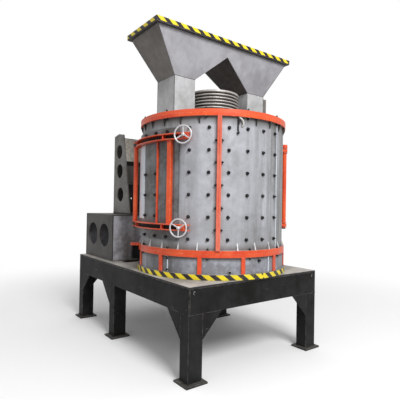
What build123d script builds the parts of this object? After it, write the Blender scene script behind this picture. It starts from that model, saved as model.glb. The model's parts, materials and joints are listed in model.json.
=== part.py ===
from build123d import *
import math
import os

# Vertical compound crusher on its steel stand, in millimetres.
# +Z is up, +X runs along the stand to the crusher's end, the origin is on the floor
# at the middle of the stand. The crusher's doors face -Y and +Y.

# Stand
stand_length = 2800.0
stand_width = 1845.0
deck_top = 910.0
deck_thickness = 20.0
beam_depth = 240.0
beam_flange = 163.0
beam_web = 14.0
leg_x = 136.0
leg_wall = 12.0
middle_leg_x = -265.0
foot_margin = 40.0
foot_thickness = 18.0
anchor_hole = 22.0
anchor_offset = 20.0
haunch_width = 235.0
haunch_height = 250.0
haunch_thickness = 14.0
cross_beam_width = 90.0
discharge_radius = 640.0
deck_slot_length = 160.0
deck_slot_width = 1440.0
deck_slot_gap = 20.0

# Drum
drum_x = 550.0
drum_radius = 850.0
drum_wall = 25.0
base_ring_radius = 885.0
base_ring_height = 55.0
base_ring_width = 85.0
base_radius = 862.0
base_wall = 20.0
base_rib_count = 12
base_rib_phase = -16.0
base_rib_thickness = 44.0
flange_radius = 876.0
flange_thickness = 35.5
lower_flange_z = 1135.0
upper_flange_z = 2578.0
gusset_count = 26
gusset_height = 78.0
gusset_thickness = 14.0
split_angle = -34.0
split_bar_width = 21.5
split_bar_radius = 893.0
split_gap = 0.6
liner_thickness = 30.0
liner_gap = 2.0
lower_hub_radius = 130.0
lower_hub_z = 1000.0
lower_hub_height = 110.0
spider_arm_width = 90.0
spider_arm_height = 80.0
spider_arm_count = 3
spider_arm_phase = 60.0

# Doors, given for the -Y side and turned half round the drum for the +Y side
door_first_angle = -117.0
door_last_angle = -62.0
door_opening_first = -112.0
door_opening_last = -67.0
door_low = 1300.0
door_high = 2470.0
door_opening_margin = 45.0
door_clearance = 6.0
door_thickness = 16.0
door_plug_clearance = 14.0
door_arc_radius = 932.0
door_arc_last = -52.6
door_arc_height = 66.0
door_arc_plate = 11.0
door_arc_low = 1435.0
door_arc_high = 2368.0
door_bar_angle = -68.2
door_bar_width = 50.0
door_bar_radius = 910.0
door_rib_angle = -80.0
door_rib_width = 14.0
door_rib_radius = 892.0
hinge_angle = -119.0
hinge_radius = 925.0
hinge_pin_radius = 18.0
hinge_running_gap = 0.05
hinge_seat_gap = 0.5
hinge_pin_setback = 3.0
hinge_head_radius = 24.0
hinge_head_height = 16.0
knuckle_radius = 36.0
stile_radius = 27.0
hinge_lug_width = 72.0
hinge_lug_thickness = 33.0
hinge_lug_relief = 0.7
hinge_cap_radius = 36.0
hinge_cap_height = 42.0
hinge_cap_gap = 3.0
hinge_cap_round = 12.0
ledge_width = 96.0
ledge_thickness = 30.0
ledge_box_height = 168.0
ledge_box_plate = 12.0

# Clamps and handwheels
clamp_high_angle = -55.7
clamp_low_angle = -57.6
clamp_block_width = 64.0
clamp_block_radius = 946.0
screw_radius = 12.0
screw_tip_gap = 6.0
wheel_radius = 97.0
wheel_rim_radius = 8.5
wheel_place = 1004.0
wheel_hub_radius = 18.0
wheel_hub_length = 42.0
wheel_spoke_radius = 6.5
wheel_spoke_count = 3
wheel_high_lead = 0.0
wheel_low_lead = 180.0
wheel_rim_sides = 8

# Lid, shaft and pulley
shaft_radius = 55.0
shaft_overhang = 19.0
shaft_foot_gap = 8.0
shaft_running_gap = 0.08
lid_bearing_radius = 215.0
lid_bearing_flange = 26.0
lid_bearing_body = 165.0
lid_bearing_height = 92.0
lid_hole_radius = 135.0
pulley_radius = 308.0
pulley_bearing_gap = 18.0
pulley_groove_count = 6
pulley_groove_pitch = 37.0
pulley_groove_depth = 24.0
pulley_groove_mouth = 26.0
pulley_groove_floor = 12.0
pulley_edge = 14.0
pulley_web_radius = 250.0
pulley_hub_radius = 110.0
pulley_web_depth = 60.0

# Rotor inside the drum
disc_radius = 560.0
disc_thickness = 40.0
disc_count = 3
disc_first_level = 1330.0
disc_pitch = 370.0
hammer_count = 4
hammer_length = 190.0
hammer_width = 120.0
hammer_height = 150.0
hammer_overhang = 150.0
hammer_row_turn = 30.0
spreader_radius = 430.0
spreader_z = 2330.0
spreader_height = 90.0

# Hopper
hopper_wall = 8.0
hopper_top_x = 292.0
hopper_top_y = 975.0
hopper_rim_x = 329.0
hopper_rim_y = 1012.0
hopper_rim_top = 3597.0
hopper_rim_height = 58.0
hopper_rim_plate = 8.0
hopper_bend_z = 3090.0
notch_apex_z = 3419.0
chute_half_x = 178.0
chute_inner_y = 410.0
chute_outer_y = 688.0
chute_strip_width = 50.0
chute_strip_depth = 56.0
chute_strip_height = 410.0

# Motor stand
motor_box_back = -1384.0
motor_box_front = -473.0
motor_box_width = 1672.0
motor_box_height = 610.0
motor_box_plate = 14.0
access_hole_radius = 158.0
access_hole_back = -1137.0
access_hole_front = -749.0
access_hole_height = 323.0
motor_gusset_y = 560.0
motor_gusset_plate = 16.0
motor_gusset_back = -1028.0
motor_gusset_foot = -507.0
motor_gusset_head = -739.0
motor_gusset_top = 2641.0
motor_gusset_peak = 2667.0
motor_gusset_hole_radius = 100.0
low_hole_x = -815.0
low_hole_z = 1796.0
middle_hole_x = -850.0
middle_hole_z = 2130.0
high_hole_x = -870.0
high_hole_z = 2407.0
motor_plate_thickness = 25.0
motor_plate_hole_y = 300.0
motor_plate_hole_low = 1750.0
motor_plate_hole_high = 2350.0
motor_plate_hole = 13.0
front_panel_low = 2260.0
front_panel_high = 2583.0
front_panel_thickness = 14.0
lower_panel_low = 1943.0
lower_panel_high = 2208.0
lower_panel_setback = 90.0
stand_foot_flange = 90.0
stand_foot_thickness = 20.0

# Worked out from the sizes above
half_length = stand_length / 2
half_width = stand_width / 2
frame_top = deck_top - deck_thickness
frame_bottom = frame_top - beam_depth
leg_places = (half_length - leg_x / 2, middle_leg_x, leg_x / 2 - half_length)
leg_row_y = half_width - beam_flange / 2
base_ring_top = deck_top + base_ring_height
lower_flange_middle = lower_flange_z + flange_thickness
shell_bottom = lower_flange_middle + flange_thickness
lid_bottom = upper_flange_z + flange_thickness
lid_top = lid_bottom + flange_thickness
liner_outer = drum_radius - drum_wall - liner_gap
liner_inner = liner_outer - liner_thickness
door_inner = drum_radius + door_clearance
door_outer = door_inner + door_thickness
opening_low = door_low + door_opening_margin
opening_high = door_high - door_opening_margin
pulley_height = pulley_groove_pitch * pulley_groove_count + 2 * pulley_edge
pulley_bottom = lid_top + lid_bearing_height + pulley_bearing_gap
pulley_top = pulley_bottom + pulley_height
shaft_top = pulley_top + shaft_overhang
hopper_rim_bottom = hopper_rim_top - hopper_rim_height
motor_box_top = deck_top + motor_box_height
disc_levels = [disc_first_level + row * disc_pitch for row in range(disc_count)]

# Extra reach of a piece that is cut back to a curved seat, and of a cutting piece
curve_margin = 12.0
cut_margin = 1.0

FLOOR = (Align.CENTER, Align.CENTER, Align.MIN)


def polar(radius, angle):
    """Point on a circle about the drum's axis, in the plane."""
    turn = math.radians(angle)
    return (radius * math.cos(turn), radius * math.sin(turn))


def block(x0, x1, y0, y1, z0, z1):
    """Box between two corners."""
    return Pos((x0 + x1) / 2, (y0 + y1) / 2, (z0 + z1) / 2) * Box(x1 - x0, y1 - y0, z1 - z0)


def disc(radius, z0, z1, x=drum_x, y=0.0):
    """Upright cylinder, on the drum's axis unless placed elsewhere."""
    return Pos(x, y, z0) * Cylinder(radius, z1 - z0, align=FLOOR)


def ring(outer, inner, z0, z1):
    """Upright ring about the drum's axis."""
    return disc(outer, z0, z1) - disc(inner, z0, z1)


def arc_block(inner, outer, first, last, z0, z1):
    """Curved block about the drum's axis between two angles."""
    middle = (first + last) / 2
    far = ThreePointArc(polar(outer, first), polar(outer, middle), polar(outer, last))
    near = ThreePointArc(polar(inner, last), polar(inner, middle), polar(inner, first))
    face = make_face([far, Line(far @ 1, near @ 0), near, Line(near @ 1, far @ 0)])
    return Pos(drum_x, 0, z0) * extrude(face, z1 - z0)


def radial_block(inner, outer, angle, width, z0, z1):
    """Straight block that points outwards from the drum's axis."""
    piece = block(inner, outer, -width / 2, width / 2, z0, z1)
    return Pos(drum_x, 0, 0) * Rot(0, 0, angle) * piece


def profile_xz(points, y0, y1):
    """Outline in the XZ plane, carried from y0 to y1."""
    face = make_face(Polyline([(x, 0, z) for x, z in points], close=True))
    return extrude(Pos(0, y0, 0) * face, y1 - y0, dir=(0, 1, 0))


def profile_yz(points, x0, x1):
    """Outline in the YZ plane, carried from x0 to x1."""
    face = make_face(Polyline([(0, y, z) for y, z in points], close=True))
    return extrude(Pos(x0, 0, 0) * face, x1 - x0, dir=(1, 0, 0))


def to_rear(piece):
    """The mirror image of a piece on the +Y side."""
    return mirror(piece, about=Plane.XZ)


def half_turn(piece):
    """The same piece turned half round the drum's axis."""
    return Pos(drum_x, 0, 0) * Rot(0, 0, 180) * Pos(-drum_x, 0, 0) * piece


def all_of(pieces):
    """One node that holds several solids."""
    return Compound(children=[solid for piece in pieces for solid in piece.solids()])


def both_sides(pieces):
    """One node with the given pieces and their mirror images on the +Y side."""
    return all_of(pieces + [to_rear(piece) for piece in pieces])


# Stand

def side_beam():
    """Channel along the -Y side, its web flush with the legs."""
    y0 = -half_width
    x1 = half_length - beam_web
    web = block(-half_length, half_length, y0, y0 + beam_web, frame_bottom, frame_top)
    upper = block(-x1, x1, y0, y0 + beam_flange, frame_top - beam_web, frame_top)
    lower = block(-x1, x1, y0, y0 + beam_flange, frame_bottom, frame_bottom + beam_web)
    return web + upper + lower


def end_beam(side):
    """Channel across one end of the stand, its web between those of the side beams."""
    y1 = half_width - beam_flange
    y2 = half_width - beam_web
    x_out = side * half_length
    x_web = x_out - side * beam_web
    x_in = x_out - side * leg_x
    web = block(min(x_out, x_web), max(x_out, x_web), -y2, y2, frame_bottom, frame_top)
    low = (frame_bottom, frame_bottom + beam_web)
    high = (frame_top - beam_web, frame_top)
    flanges = [block(min(x_out, x_in), max(x_out, x_in), -y1, y1, z0, z1) for z0, z1 in (low, high)]
    return web + flanges[0] + flanges[1]


def cross_beam(x):
    """Inner beam of I section across the stand under the deck."""
    y1 = half_width - beam_flange
    x0, x1 = x - cross_beam_width / 2, x + cross_beam_width / 2
    beam = block(x - beam_web / 2, x + beam_web / 2, -y1, y1, frame_bottom, frame_top)
    beam += block(x0, x1, -y1, y1, frame_top - beam_web, frame_top)
    return beam + block(x0, x1, -y1, y1, frame_bottom, frame_bottom + beam_web)


def leg(x, y):
    """Square tube from the foot plate to the beam."""
    height = frame_bottom - foot_thickness
    tube = Box(leg_x, beam_flange, height, align=FLOOR)
    bore = Box(leg_x - 2 * leg_wall, beam_flange - 2 * leg_wall, height, align=FLOOR)
    return Pos(x, y, foot_thickness) * (tube - bore)


def foot(x, y):
    """Foot plate with an anchor hole on each long side of the leg."""
    plate = Box(leg_x + 2 * foot_margin, beam_flange + 2 * foot_margin, foot_thickness, align=FLOOR)
    for side in (-1, 1):
        hole = Cylinder(anchor_hole / 2, foot_thickness, align=FLOOR)
        plate -= Pos(0, side * (beam_flange / 2 + anchor_offset), 0) * hole
    return Pos(x, y, 0) * plate


def haunch_along(x, side):
    """Corner plate beside a leg, in the plane of the -Y side beam."""
    edge = x + side * leg_x / 2
    outline = [
        (edge, frame_bottom),
        (edge + side * haunch_width, frame_bottom),
        (edge, frame_bottom - haunch_height),
    ]
    return profile_xz(outline, -half_width, -half_width + haunch_thickness)


def haunch_across(side):
    """Corner plate beside a -Y corner leg, in the plane of the end beam."""
    edge = -half_width + beam_flange
    outline = [
        (edge, frame_bottom),
        (edge + haunch_width, frame_bottom),
        (edge, frame_bottom - haunch_height),
    ]
    x_out = side * half_length
    x_in = x_out - side * haunch_thickness
    return profile_yz(outline, min(x_out, x_in), max(x_out, x_in))


def deck_plate():
    """Deck with the discharge hole under the drum and the slot before the motor box."""
    plate = block(-half_length, half_length, -half_width, half_width, frame_top, deck_top)
    plate -= disc(discharge_radius, frame_top, deck_top)
    slot_start = motor_box_front + deck_slot_gap
    slot_end = slot_start + deck_slot_length
    half_slot = deck_slot_width / 2
    return plate - block(slot_start, slot_end, -half_slot, half_slot, frame_top, deck_top)


def build_stand():
    """Deck, beams, legs, feet and corner plates."""
    haunch_sides = (-1, -1, 1)
    front_haunches = [haunch_along(x, side) for x, side in zip(leg_places, haunch_sides)]
    drum_beam = drum_x - discharge_radius - cross_beam_width / 2
    return {
        "deck_plate": deck_plate(),
        "side_beams": both_sides([side_beam()]),
        "end_beams": all_of([end_beam(1), end_beam(-1)]),
        "cross_beams": all_of([cross_beam(drum_beam), cross_beam(motor_box_front)]),
        "legs": both_sides([leg(x, -leg_row_y) for x in leg_places]),
        "foot_plates": both_sides([foot(x, -leg_row_y) for x in leg_places]),
        "side_haunches": both_sides(front_haunches),
        "end_haunches": both_sides([haunch_across(side) for side in (-1, 1)]),
    }


# Drum

def door_cut(inner, outer):
    """Space of both door openings between two radii."""
    front = arc_block(inner, outer, door_opening_first, door_opening_last, opening_low, opening_high)
    return front + half_turn(front)


def shell_half(first):
    """Half of the drum's wall, from one split line to the other."""
    gap_angle = math.degrees(split_gap / 2 / drum_radius)
    half = arc_block(drum_radius - drum_wall, drum_radius, first + gap_angle, first + 180 - gap_angle,
                     shell_bottom, upper_flange_z)
    return half - door_cut(drum_radius - drum_wall - cut_margin, drum_radius + cut_margin)


def split_bars(angle):
    """Pair of bolted bars that join the two halves of the drum."""
    offset = math.degrees(((split_gap + split_bar_width) / 2) / drum_radius)
    return [
        radial_block(drum_radius, split_bar_radius, angle + turn, split_bar_width, shell_bottom,
                     upper_flange_z)
        for turn in (-offset, offset)
    ]


def gusset(angle, z, rise):
    """Triangular stiffener between the wall and a flange."""
    inner = drum_radius - curve_margin
    peak = z + rise * (flange_radius - inner) / (flange_radius - drum_radius)
    outline = [(inner, z), (flange_radius, z), (inner, peak)]
    piece = profile_xz(outline, -gusset_thickness / 2, gusset_thickness / 2)
    return Pos(drum_x, 0, 0) * Rot(0, 0, angle) * piece - disc(drum_radius, min(z, peak), max(z, peak))


def gussets(z, rise):
    """Stiffeners all round, but for the two split lines."""
    step = 360 / gusset_count
    turns = [turn for turn in range(1, gusset_count) if turn != gusset_count // 2]
    return [gusset(split_angle + turn * step, z, rise) for turn in turns]


def base_ribs():
    """Upright ribs round the base."""
    angles = [base_rib_phase + turn * 360 / base_rib_count for turn in range(base_rib_count)]
    cut = disc(base_radius, base_ring_top, lower_flange_z)
    return [
        radial_block(base_radius - curve_margin, flange_radius, angle, base_rib_thickness, base_ring_top,
                     lower_flange_z) - cut
        for angle in angles
    ]


def lower_bearing():
    """Bearing hub at the foot of the shaft, on three arms from the base wall."""
    z_arm = lower_hub_z + (lower_hub_height - spider_arm_height) / 2
    hub = disc(lower_hub_radius, lower_hub_z, lower_hub_z + lower_hub_height)
    for turn in range(spider_arm_count):
        angle = spider_arm_phase + turn * 360 / spider_arm_count
        hub += radial_block(0, base_radius, angle, spider_arm_width, z_arm, z_arm + spider_arm_height)
    inside = ring(base_radius - base_wall, shaft_radius + shaft_running_gap, lower_hub_z,
                  lower_hub_z + lower_hub_height)
    return hub & inside


def lid_plate():
    """Lid with the shaft hole and the two chute holes."""
    lid = disc(flange_radius, lid_bottom, lid_top) - disc(lid_hole_radius, lid_bottom, lid_top)
    for side in (-1, 1):
        y = side * (chute_inner_y + chute_outer_y) / 2
        width = chute_outer_y - chute_inner_y - 2 * hopper_wall
        hole = Box(2 * (chute_half_x - hopper_wall), width, flange_thickness, align=FLOOR)
        lid -= Pos(drum_x, y, lid_bottom) * hole
    return lid


def lid_bearing():
    """Flanged bearing housing on the lid."""
    housing = disc(lid_bearing_radius, lid_top, lid_top + lid_bearing_flange)
    housing += disc(lid_bearing_body, lid_top, lid_top + lid_bearing_height)
    return housing - disc(shaft_radius + shaft_running_gap, lid_top, lid_top + lid_bearing_height)


def liner():
    """Wear liner inside the drum, open at the doors."""
    wall = ring(liner_outer, liner_inner, shell_bottom, upper_flange_z)
    return wall - door_cut(liner_inner - cut_margin, liner_outer + cut_margin)


def build_drum():
    """Base, shell, flanges, stiffeners, lid and bearings."""
    bottom_gussets = gussets(shell_bottom, gusset_height)
    top_gussets = gussets(upper_flange_z, -gusset_height)
    return {
        "base_ring": ring(base_ring_radius, base_ring_radius - base_ring_width, deck_top, base_ring_top),
        "base_shell": ring(base_radius, base_radius - base_wall, base_ring_top, lower_flange_z),
        "base_ribs": all_of(base_ribs()),
        "base_flange": ring(flange_radius, liner_inner, lower_flange_z, lower_flange_middle),
        "shell_foot_flange": ring(flange_radius, liner_inner, lower_flange_middle, shell_bottom),
        "shell_half_front": shell_half(split_angle - 180),
        "shell_half_rear": shell_half(split_angle),
        "split_bars": all_of(split_bars(split_angle) + split_bars(split_angle + 180)),
        "lower_gussets": all_of(bottom_gussets),
        "upper_gussets": all_of(top_gussets),
        "shell_top_flange": ring(flange_radius, liner_inner, upper_flange_z, lid_bottom),
        "wear_liner": liner(),
        "lid_plate": lid_plate(),
        "lid_bearing": lid_bearing(),
        "lower_bearing": lower_bearing(),
    }


# Rotor

def pulley():
    """Grooved belt pulley with a recessed web and a hub."""
    groove_low = pulley_bottom + pulley_edge
    outline = [(shaft_radius, pulley_bottom), (pulley_radius, pulley_bottom)]
    for turn in range(pulley_groove_count):
        middle = groove_low + (turn + 0.5) * pulley_groove_pitch
        floor = pulley_radius - pulley_groove_depth
        outline += [
            (pulley_radius, middle - pulley_groove_mouth / 2),
            (floor, middle - pulley_groove_floor / 2),
            (floor, middle + pulley_groove_floor / 2),
            (pulley_radius, middle + pulley_groove_mouth / 2),
        ]
    outline += [(pulley_radius, pulley_top), (shaft_radius, pulley_top)]
    face = make_face(Polyline([(x, 0, z) for x, z in outline], close=True))
    wheel = Pos(drum_x, 0, 0) * revolve(face, Axis.Z)
    recess_starts = (pulley_bottom, pulley_top - pulley_web_depth)
    for z0, z1 in [(start, start + pulley_web_depth) for start in recess_starts]:
        wheel -= ring(pulley_web_radius, pulley_hub_radius, z0, z1)
    return wheel


def rotor_disc(z):
    """Steel disc that carries one row of hammers."""
    return disc(disc_radius, z, z + disc_thickness) - disc(shaft_radius, z, z + disc_thickness)


def hammer(z, angle):
    """Hammer block seated on the edge of a disc."""
    inner = disc_radius + hammer_overhang - hammer_length
    return radial_block(inner, inner + hammer_length, angle, hammer_width, z + disc_thickness,
                        z + disc_thickness + hammer_height)


def spreader():
    """Cone that throws the feed outwards."""
    cone = Cone(spreader_radius, pulley_hub_radius, spreader_height, align=FLOOR)
    return Pos(drum_x, 0, spreader_z) * cone - disc(shaft_radius, spreader_z, spreader_z + spreader_height)


def build_rotor():
    """Shaft, pulley, discs, hammers and spreader, which turn together."""
    hammers = []
    for row, z in enumerate(disc_levels):
        phase = row * hammer_row_turn
        hammers += [hammer(z, phase + turn * 360 / hammer_count) for turn in range(hammer_count)]
    return {
        "rotor_shaft": disc(shaft_radius, lower_hub_z + shaft_foot_gap, shaft_top),
        "drive_pulley": pulley(),
        "rotor_discs": all_of([rotor_disc(z) for z in disc_levels]),
        "hammers": all_of(hammers),
        "spreader_cone": spreader(),
    }


# Doors

def hinge_place():
    """Hinge axis of the -Y door."""
    x, y = polar(hinge_radius, hinge_angle)
    return drum_x + x, y


def door_panel():
    """Curved cover with the plug that fills the opening."""
    cover = arc_block(door_inner, door_outer, door_first_angle, door_last_angle, door_low, door_high)
    side_gap = math.degrees(door_plug_clearance / drum_radius)
    plug = arc_block(drum_radius - drum_wall, door_inner + cut_margin, door_opening_first + side_gap,
                     door_opening_last - side_gap, opening_low + door_plug_clearance,
                     opening_high - door_plug_clearance)
    return cover + plug


def clamp_place(level):
    """Angle of the clamp screw at one of the two levels."""
    return clamp_high_angle if level == door_arc_high else clamp_low_angle


def door_arm(level):
    """Curved arm of two plates with hinge eyes at one end and the clamp block at the other."""
    half = door_arc_height / 2
    x, y = hinge_place()
    low, high = level - half, level + half
    arm = arc_block(door_outer, door_outer + door_arc_plate, door_first_angle, door_last_angle, low, high)
    for z0, z1 in ((low, low + door_arc_plate), (high - door_arc_plate, high)):
        arm += arc_block(door_outer, door_arc_radius, hinge_angle, door_arc_last, z0, z1)
        arm += disc(knuckle_radius, z0, z1, x, y)
    arm += radial_block(door_outer + door_arc_plate, clamp_block_radius, clamp_place(level),
                        clamp_block_width, low, high)
    arm -= disc(hinge_pin_radius + hinge_running_gap, low, high, x, y)
    return arm - screw_bore(level)


def screw_bore(level):
    """Bore of the clamp screw through its block."""
    bore = Cylinder(screw_radius + hinge_running_gap, 2 * (clamp_block_radius - door_inner))
    bore = Pos(door_arc_radius, 0, level) * Rot(0, 90, 0) * bore
    return Pos(drum_x, 0, 0) * Rot(0, 0, clamp_place(level)) * bore


def door_frame():
    """Arms and upright bars on the face of the door, and the round stile over the hinge."""
    low = door_arc_low + door_arc_height / 2
    high = door_arc_high - door_arc_height / 2
    inner = door_outer - curve_margin
    bars = radial_block(inner, door_bar_radius, door_bar_angle, door_bar_width, low, high)
    bars += radial_block(inner, door_rib_radius, door_rib_angle, door_rib_width, low, high)
    bars -= disc(door_outer, low, high)
    x, y = hinge_place()
    return door_arm(door_arc_low) + door_arm(door_arc_high) + bars + disc(stile_radius, low, high, x, y)


def handwheel(level):
    """Three-spoked handwheel with its clamp screw."""
    tip = drum_radius + screw_tip_gap
    end = wheel_place + wheel_hub_length / 2
    screw = Pos((tip + end) / 2, 0, 0) * Rot(0, 90, 0) * Cylinder(screw_radius, end - tip)
    hub = Pos(wheel_place, 0, 0) * Rot(0, 90, 0) * Cylinder(wheel_hub_radius, wheel_hub_length)
    section = RegularPolygon(wheel_rim_radius, wheel_rim_sides)
    section = Plane.XZ * Pos(wheel_radius - wheel_rim_radius, 0) * section
    rim = Pos(wheel_place, 0, 0) * Rot(0, 90, 0) * revolve(section, Axis.Z)
    wheel = screw + hub + rim
    lead = wheel_high_lead if level == door_arc_high else wheel_low_lead
    for turn in range(wheel_spoke_count):
        spoke = Cylinder(wheel_spoke_radius, wheel_radius - wheel_rim_radius, align=FLOOR)
        wheel += Pos(wheel_place, 0, 0) * Rot(lead + turn * 360 / wheel_spoke_count, 0, 0) * spoke
    return Pos(drum_x, 0, level) * Rot(0, 0, clamp_place(level)) * wheel


def round_ended_plate(inner, width, z0, z1):
    """Level plate with a round end that reaches from a curved wall to the hinge axis."""
    x, y = hinge_place()
    plate = radial_block(inner - curve_margin, hinge_radius, hinge_angle, width, z0, z1)
    return plate + disc(width / 2, z0, z1, x, y) - disc(inner, z0, z1)


def hinge_lug(level):
    """Lug on the drum's wall between an arm's plates, cut back beside the door's edge."""
    x, y = hinge_place()
    z0, z1 = level - hinge_lug_thickness / 2, level + hinge_lug_thickness / 2
    relief = arc_block(drum_radius, hinge_radius, door_first_angle - hinge_lug_relief, door_opening_first,
                       z0, z1)
    lug = round_ended_plate(drum_radius, hinge_lug_width, z0, z1) - relief
    return lug - disc(hinge_pin_radius, z0, z1, x, y)


def hinge_pin(level, side):
    """Pin through an arm's plates and the lug between them, its head above or below the arm."""
    x, y = hinge_place()
    seat = level + side * (door_arc_height / 2 + hinge_seat_gap)
    head_end = seat + side * hinge_head_height
    tip = level - side * (door_arc_height / 2 - hinge_pin_setback)
    head = disc(hinge_head_radius, min(seat, head_end), max(seat, head_end), x, y)
    return head + disc(hinge_pin_radius, min(seat, tip), max(seat, tip), x, y)


def hinge_cap():
    """Rounded cap over the head of the upper pin."""
    x, y = hinge_place()
    arm_top = door_arc_high + door_arc_height / 2
    z0 = arm_top + hinge_cap_gap
    cap = disc(hinge_cap_radius, z0, z0 + hinge_cap_height, x, y)
    cap = fillet(cap.edges().sort_by(Axis.Z)[-1], hinge_cap_round)
    return cap - disc(hinge_head_radius, z0, arm_top + hinge_seat_gap + hinge_head_height, x, y)


def flange_ledge():
    """Ledge flush with the drum's foot flange, below the -Y door's hinge."""
    return round_ended_plate(flange_radius, ledge_width, shell_bottom - ledge_thickness, shell_bottom)


def ledge_box():
    """Open box of two plates under the ledge."""
    ledge_low = shell_bottom - ledge_thickness
    box_low = ledge_low - ledge_box_height
    outer = hinge_radius + knuckle_radius
    box = radial_block(outer - ledge_box_plate, outer, hinge_angle, ledge_width, box_low, ledge_low)
    box += radial_block(base_radius - curve_margin, outer, hinge_angle, ledge_width, box_low,
                        box_low + ledge_box_plate)
    return box - disc(base_radius, box_low, lower_flange_z)


def build_doors():
    """Both doors with hinges and handwheels."""
    front = {
        "door_panel_front": door_panel(),
        "door_frame_front": door_frame(),
        "handwheel_front_top": handwheel(door_arc_high),
        "handwheel_front_bottom": handwheel(door_arc_low),
    }
    rear = {name.replace("front", "rear"): half_turn(piece) for name, piece in front.items()}
    lugs = [hinge_lug(door_arc_low), hinge_lug(door_arc_high)]
    pins = [hinge_pin(door_arc_low, -1), hinge_pin(door_arc_high, 1)]
    fixed = {
        "hinge_lugs_front": all_of(lugs),
        "hinge_lugs_rear": all_of([half_turn(lug) for lug in lugs]),
        "hinge_pins": all_of(pins + [half_turn(pin) for pin in pins]),
        "hinge_cap_rear": half_turn(hinge_cap()),
        "flange_ledge": flange_ledge(),
        "ledge_box": ledge_box(),
    }
    return fixed | front | rear


# Hopper

def hopper_solid():
    """Outside of the hopper between its bend and its rim, filled."""
    low = Pos(drum_x, 0, hopper_bend_z) * Rectangle(2 * chute_half_x, 2 * chute_outer_y)
    high = Pos(drum_x, 0, hopper_rim_bottom) * Rectangle(2 * hopper_top_x, 2 * hopper_top_y)
    return loft([low, high])


def tunnel(lift):
    """Wedge under the saddle that runs along X, raised by the given amount."""
    apex = notch_apex_z + lift
    slope = (notch_apex_z - hopper_bend_z) / chute_inner_y
    foot_y = (apex - hopper_bend_z) / slope
    outline = [(-foot_y, hopper_bend_z), (foot_y, hopper_bend_z), (0, apex)]
    return profile_yz(outline, drum_x - 2 * hopper_top_x, drum_x + 2 * hopper_top_x)


def chute():
    """Square tube of the -Y chute, down to the lid."""
    y = -(chute_inner_y + chute_outer_y) / 2
    width = chute_outer_y - chute_inner_y
    height = hopper_bend_z - lid_top
    tube = Box(2 * chute_half_x, width, height, align=FLOOR)
    bore = Box(2 * (chute_half_x - hopper_wall), width - 2 * hopper_wall, height, align=FLOOR)
    return Pos(drum_x, y, lid_top) * (tube - bore)


def chute_strip():
    """Upright strip on the outer face of the +Y chute."""
    x1 = drum_x + chute_half_x
    return block(x1 - chute_strip_width, x1, chute_outer_y, chute_outer_y + chute_strip_depth, lid_top,
                 lid_top + chute_strip_height)


def hopper_rim():
    """Frame of upright strips round the mouth, with its ledge."""
    height = hopper_rim_height
    frame = Box(2 * hopper_rim_x, 2 * hopper_rim_y, height, align=FLOOR)
    inner_x, inner_y = hopper_rim_x - hopper_rim_plate, hopper_rim_y - hopper_rim_plate
    frame -= Box(2 * inner_x, 2 * inner_y, height, align=FLOOR)
    ledge = Box(2 * hopper_rim_x, 2 * hopper_rim_y, hopper_rim_plate, align=FLOOR)
    mouth_x, mouth_y = hopper_top_x - hopper_wall, hopper_top_y - hopper_wall
    ledge -= Box(2 * mouth_x, 2 * mouth_y, hopper_rim_plate, align=FLOOR)
    return Pos(drum_x, 0, hopper_rim_bottom) * (frame + ledge)


def build_hopper():
    """Hopper walls, saddle, chutes and rim."""
    body = hopper_solid()
    moved_back = Pos(-hopper_wall, 0, 0) * body
    moved_ahead = Pos(hopper_wall, 0, 0) * body
    inside = body & moved_back & moved_ahead
    notch = tunnel(0)
    saddle_lift = hopper_wall / math.cos(math.atan2(notch_apex_z - hopper_bend_z, chute_inner_y))
    end_wall = inside - Pos(0, hopper_wall, 0) * body
    return {
        "hopper_side_walls": all_of([(body - moved_back) - notch, (body - moved_ahead) - notch]),
        "hopper_end_walls": both_sides([end_wall]),
        "hopper_saddle": (tunnel(saddle_lift) - notch) & inside,
        "feed_chutes": both_sides([chute()]),
        "chute_strip": chute_strip(),
        "hopper_rim": hopper_rim(),
    }


# Motor stand

def motor_box_side():
    """-Y side of the motor box with its two round holes."""
    y0 = -motor_box_width / 2
    plate = block(motor_box_back, motor_box_front, y0, y0 + motor_box_plate, deck_top,
                  motor_box_top - motor_box_plate)
    for x in (access_hole_back, access_hole_front):
        hole = Rot(90, 0, 0) * Cylinder(access_hole_radius, 3 * motor_box_plate)
        plate -= Pos(x, y0, deck_top + access_hole_height) * hole
    return plate


def motor_box_end(x0):
    """End of the motor box between its sides."""
    y1 = motor_box_width / 2 - motor_box_plate
    return block(x0, x0 + motor_box_plate, -y1, y1, deck_top, motor_box_top - motor_box_plate)


def motor_gusset():
    """Tall side plate of the motor stand with round holes, on the -Y side."""
    outline = [
        (motor_gusset_back, motor_box_top + stand_foot_thickness),
        (motor_gusset_foot, motor_box_top + stand_foot_thickness),
        (motor_gusset_head, motor_gusset_top),
        ((motor_gusset_head + motor_gusset_back) / 2, motor_gusset_peak),
        (motor_gusset_back, motor_gusset_top),
    ]
    plate = profile_xz(outline, -motor_gusset_y - motor_gusset_plate, -motor_gusset_y)
    holes = ((low_hole_x, low_hole_z), (middle_hole_x, middle_hole_z), (high_hole_x, high_hole_z))
    for x, z in holes:
        hole = Cylinder(motor_gusset_hole_radius, 3 * motor_gusset_plate)
        plate -= Pos(x, -motor_gusset_y, z) * Rot(90, 0, 0) * hole
    return plate


def gusset_front_x(z):
    """Place of the gussets' slanting front edge at a height."""
    low = motor_box_top + stand_foot_thickness
    share = (z - low) / (motor_gusset_top - low)
    return motor_gusset_foot + share * (motor_gusset_head - motor_gusset_foot)


def motor_foot_frame():
    """Foot flange of the motor stand, bolted on the box."""
    outer_y = motor_gusset_y + motor_gusset_plate
    frame = block(motor_gusset_back, motor_gusset_foot, -outer_y, outer_y, motor_box_top,
                  motor_box_top + stand_foot_thickness)
    inner_y = motor_gusset_y - stand_foot_flange
    return frame - block(motor_gusset_back + stand_foot_flange, motor_gusset_foot - stand_foot_flange,
                         -inner_y, inner_y, motor_box_top, motor_box_top + stand_foot_thickness)


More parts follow.
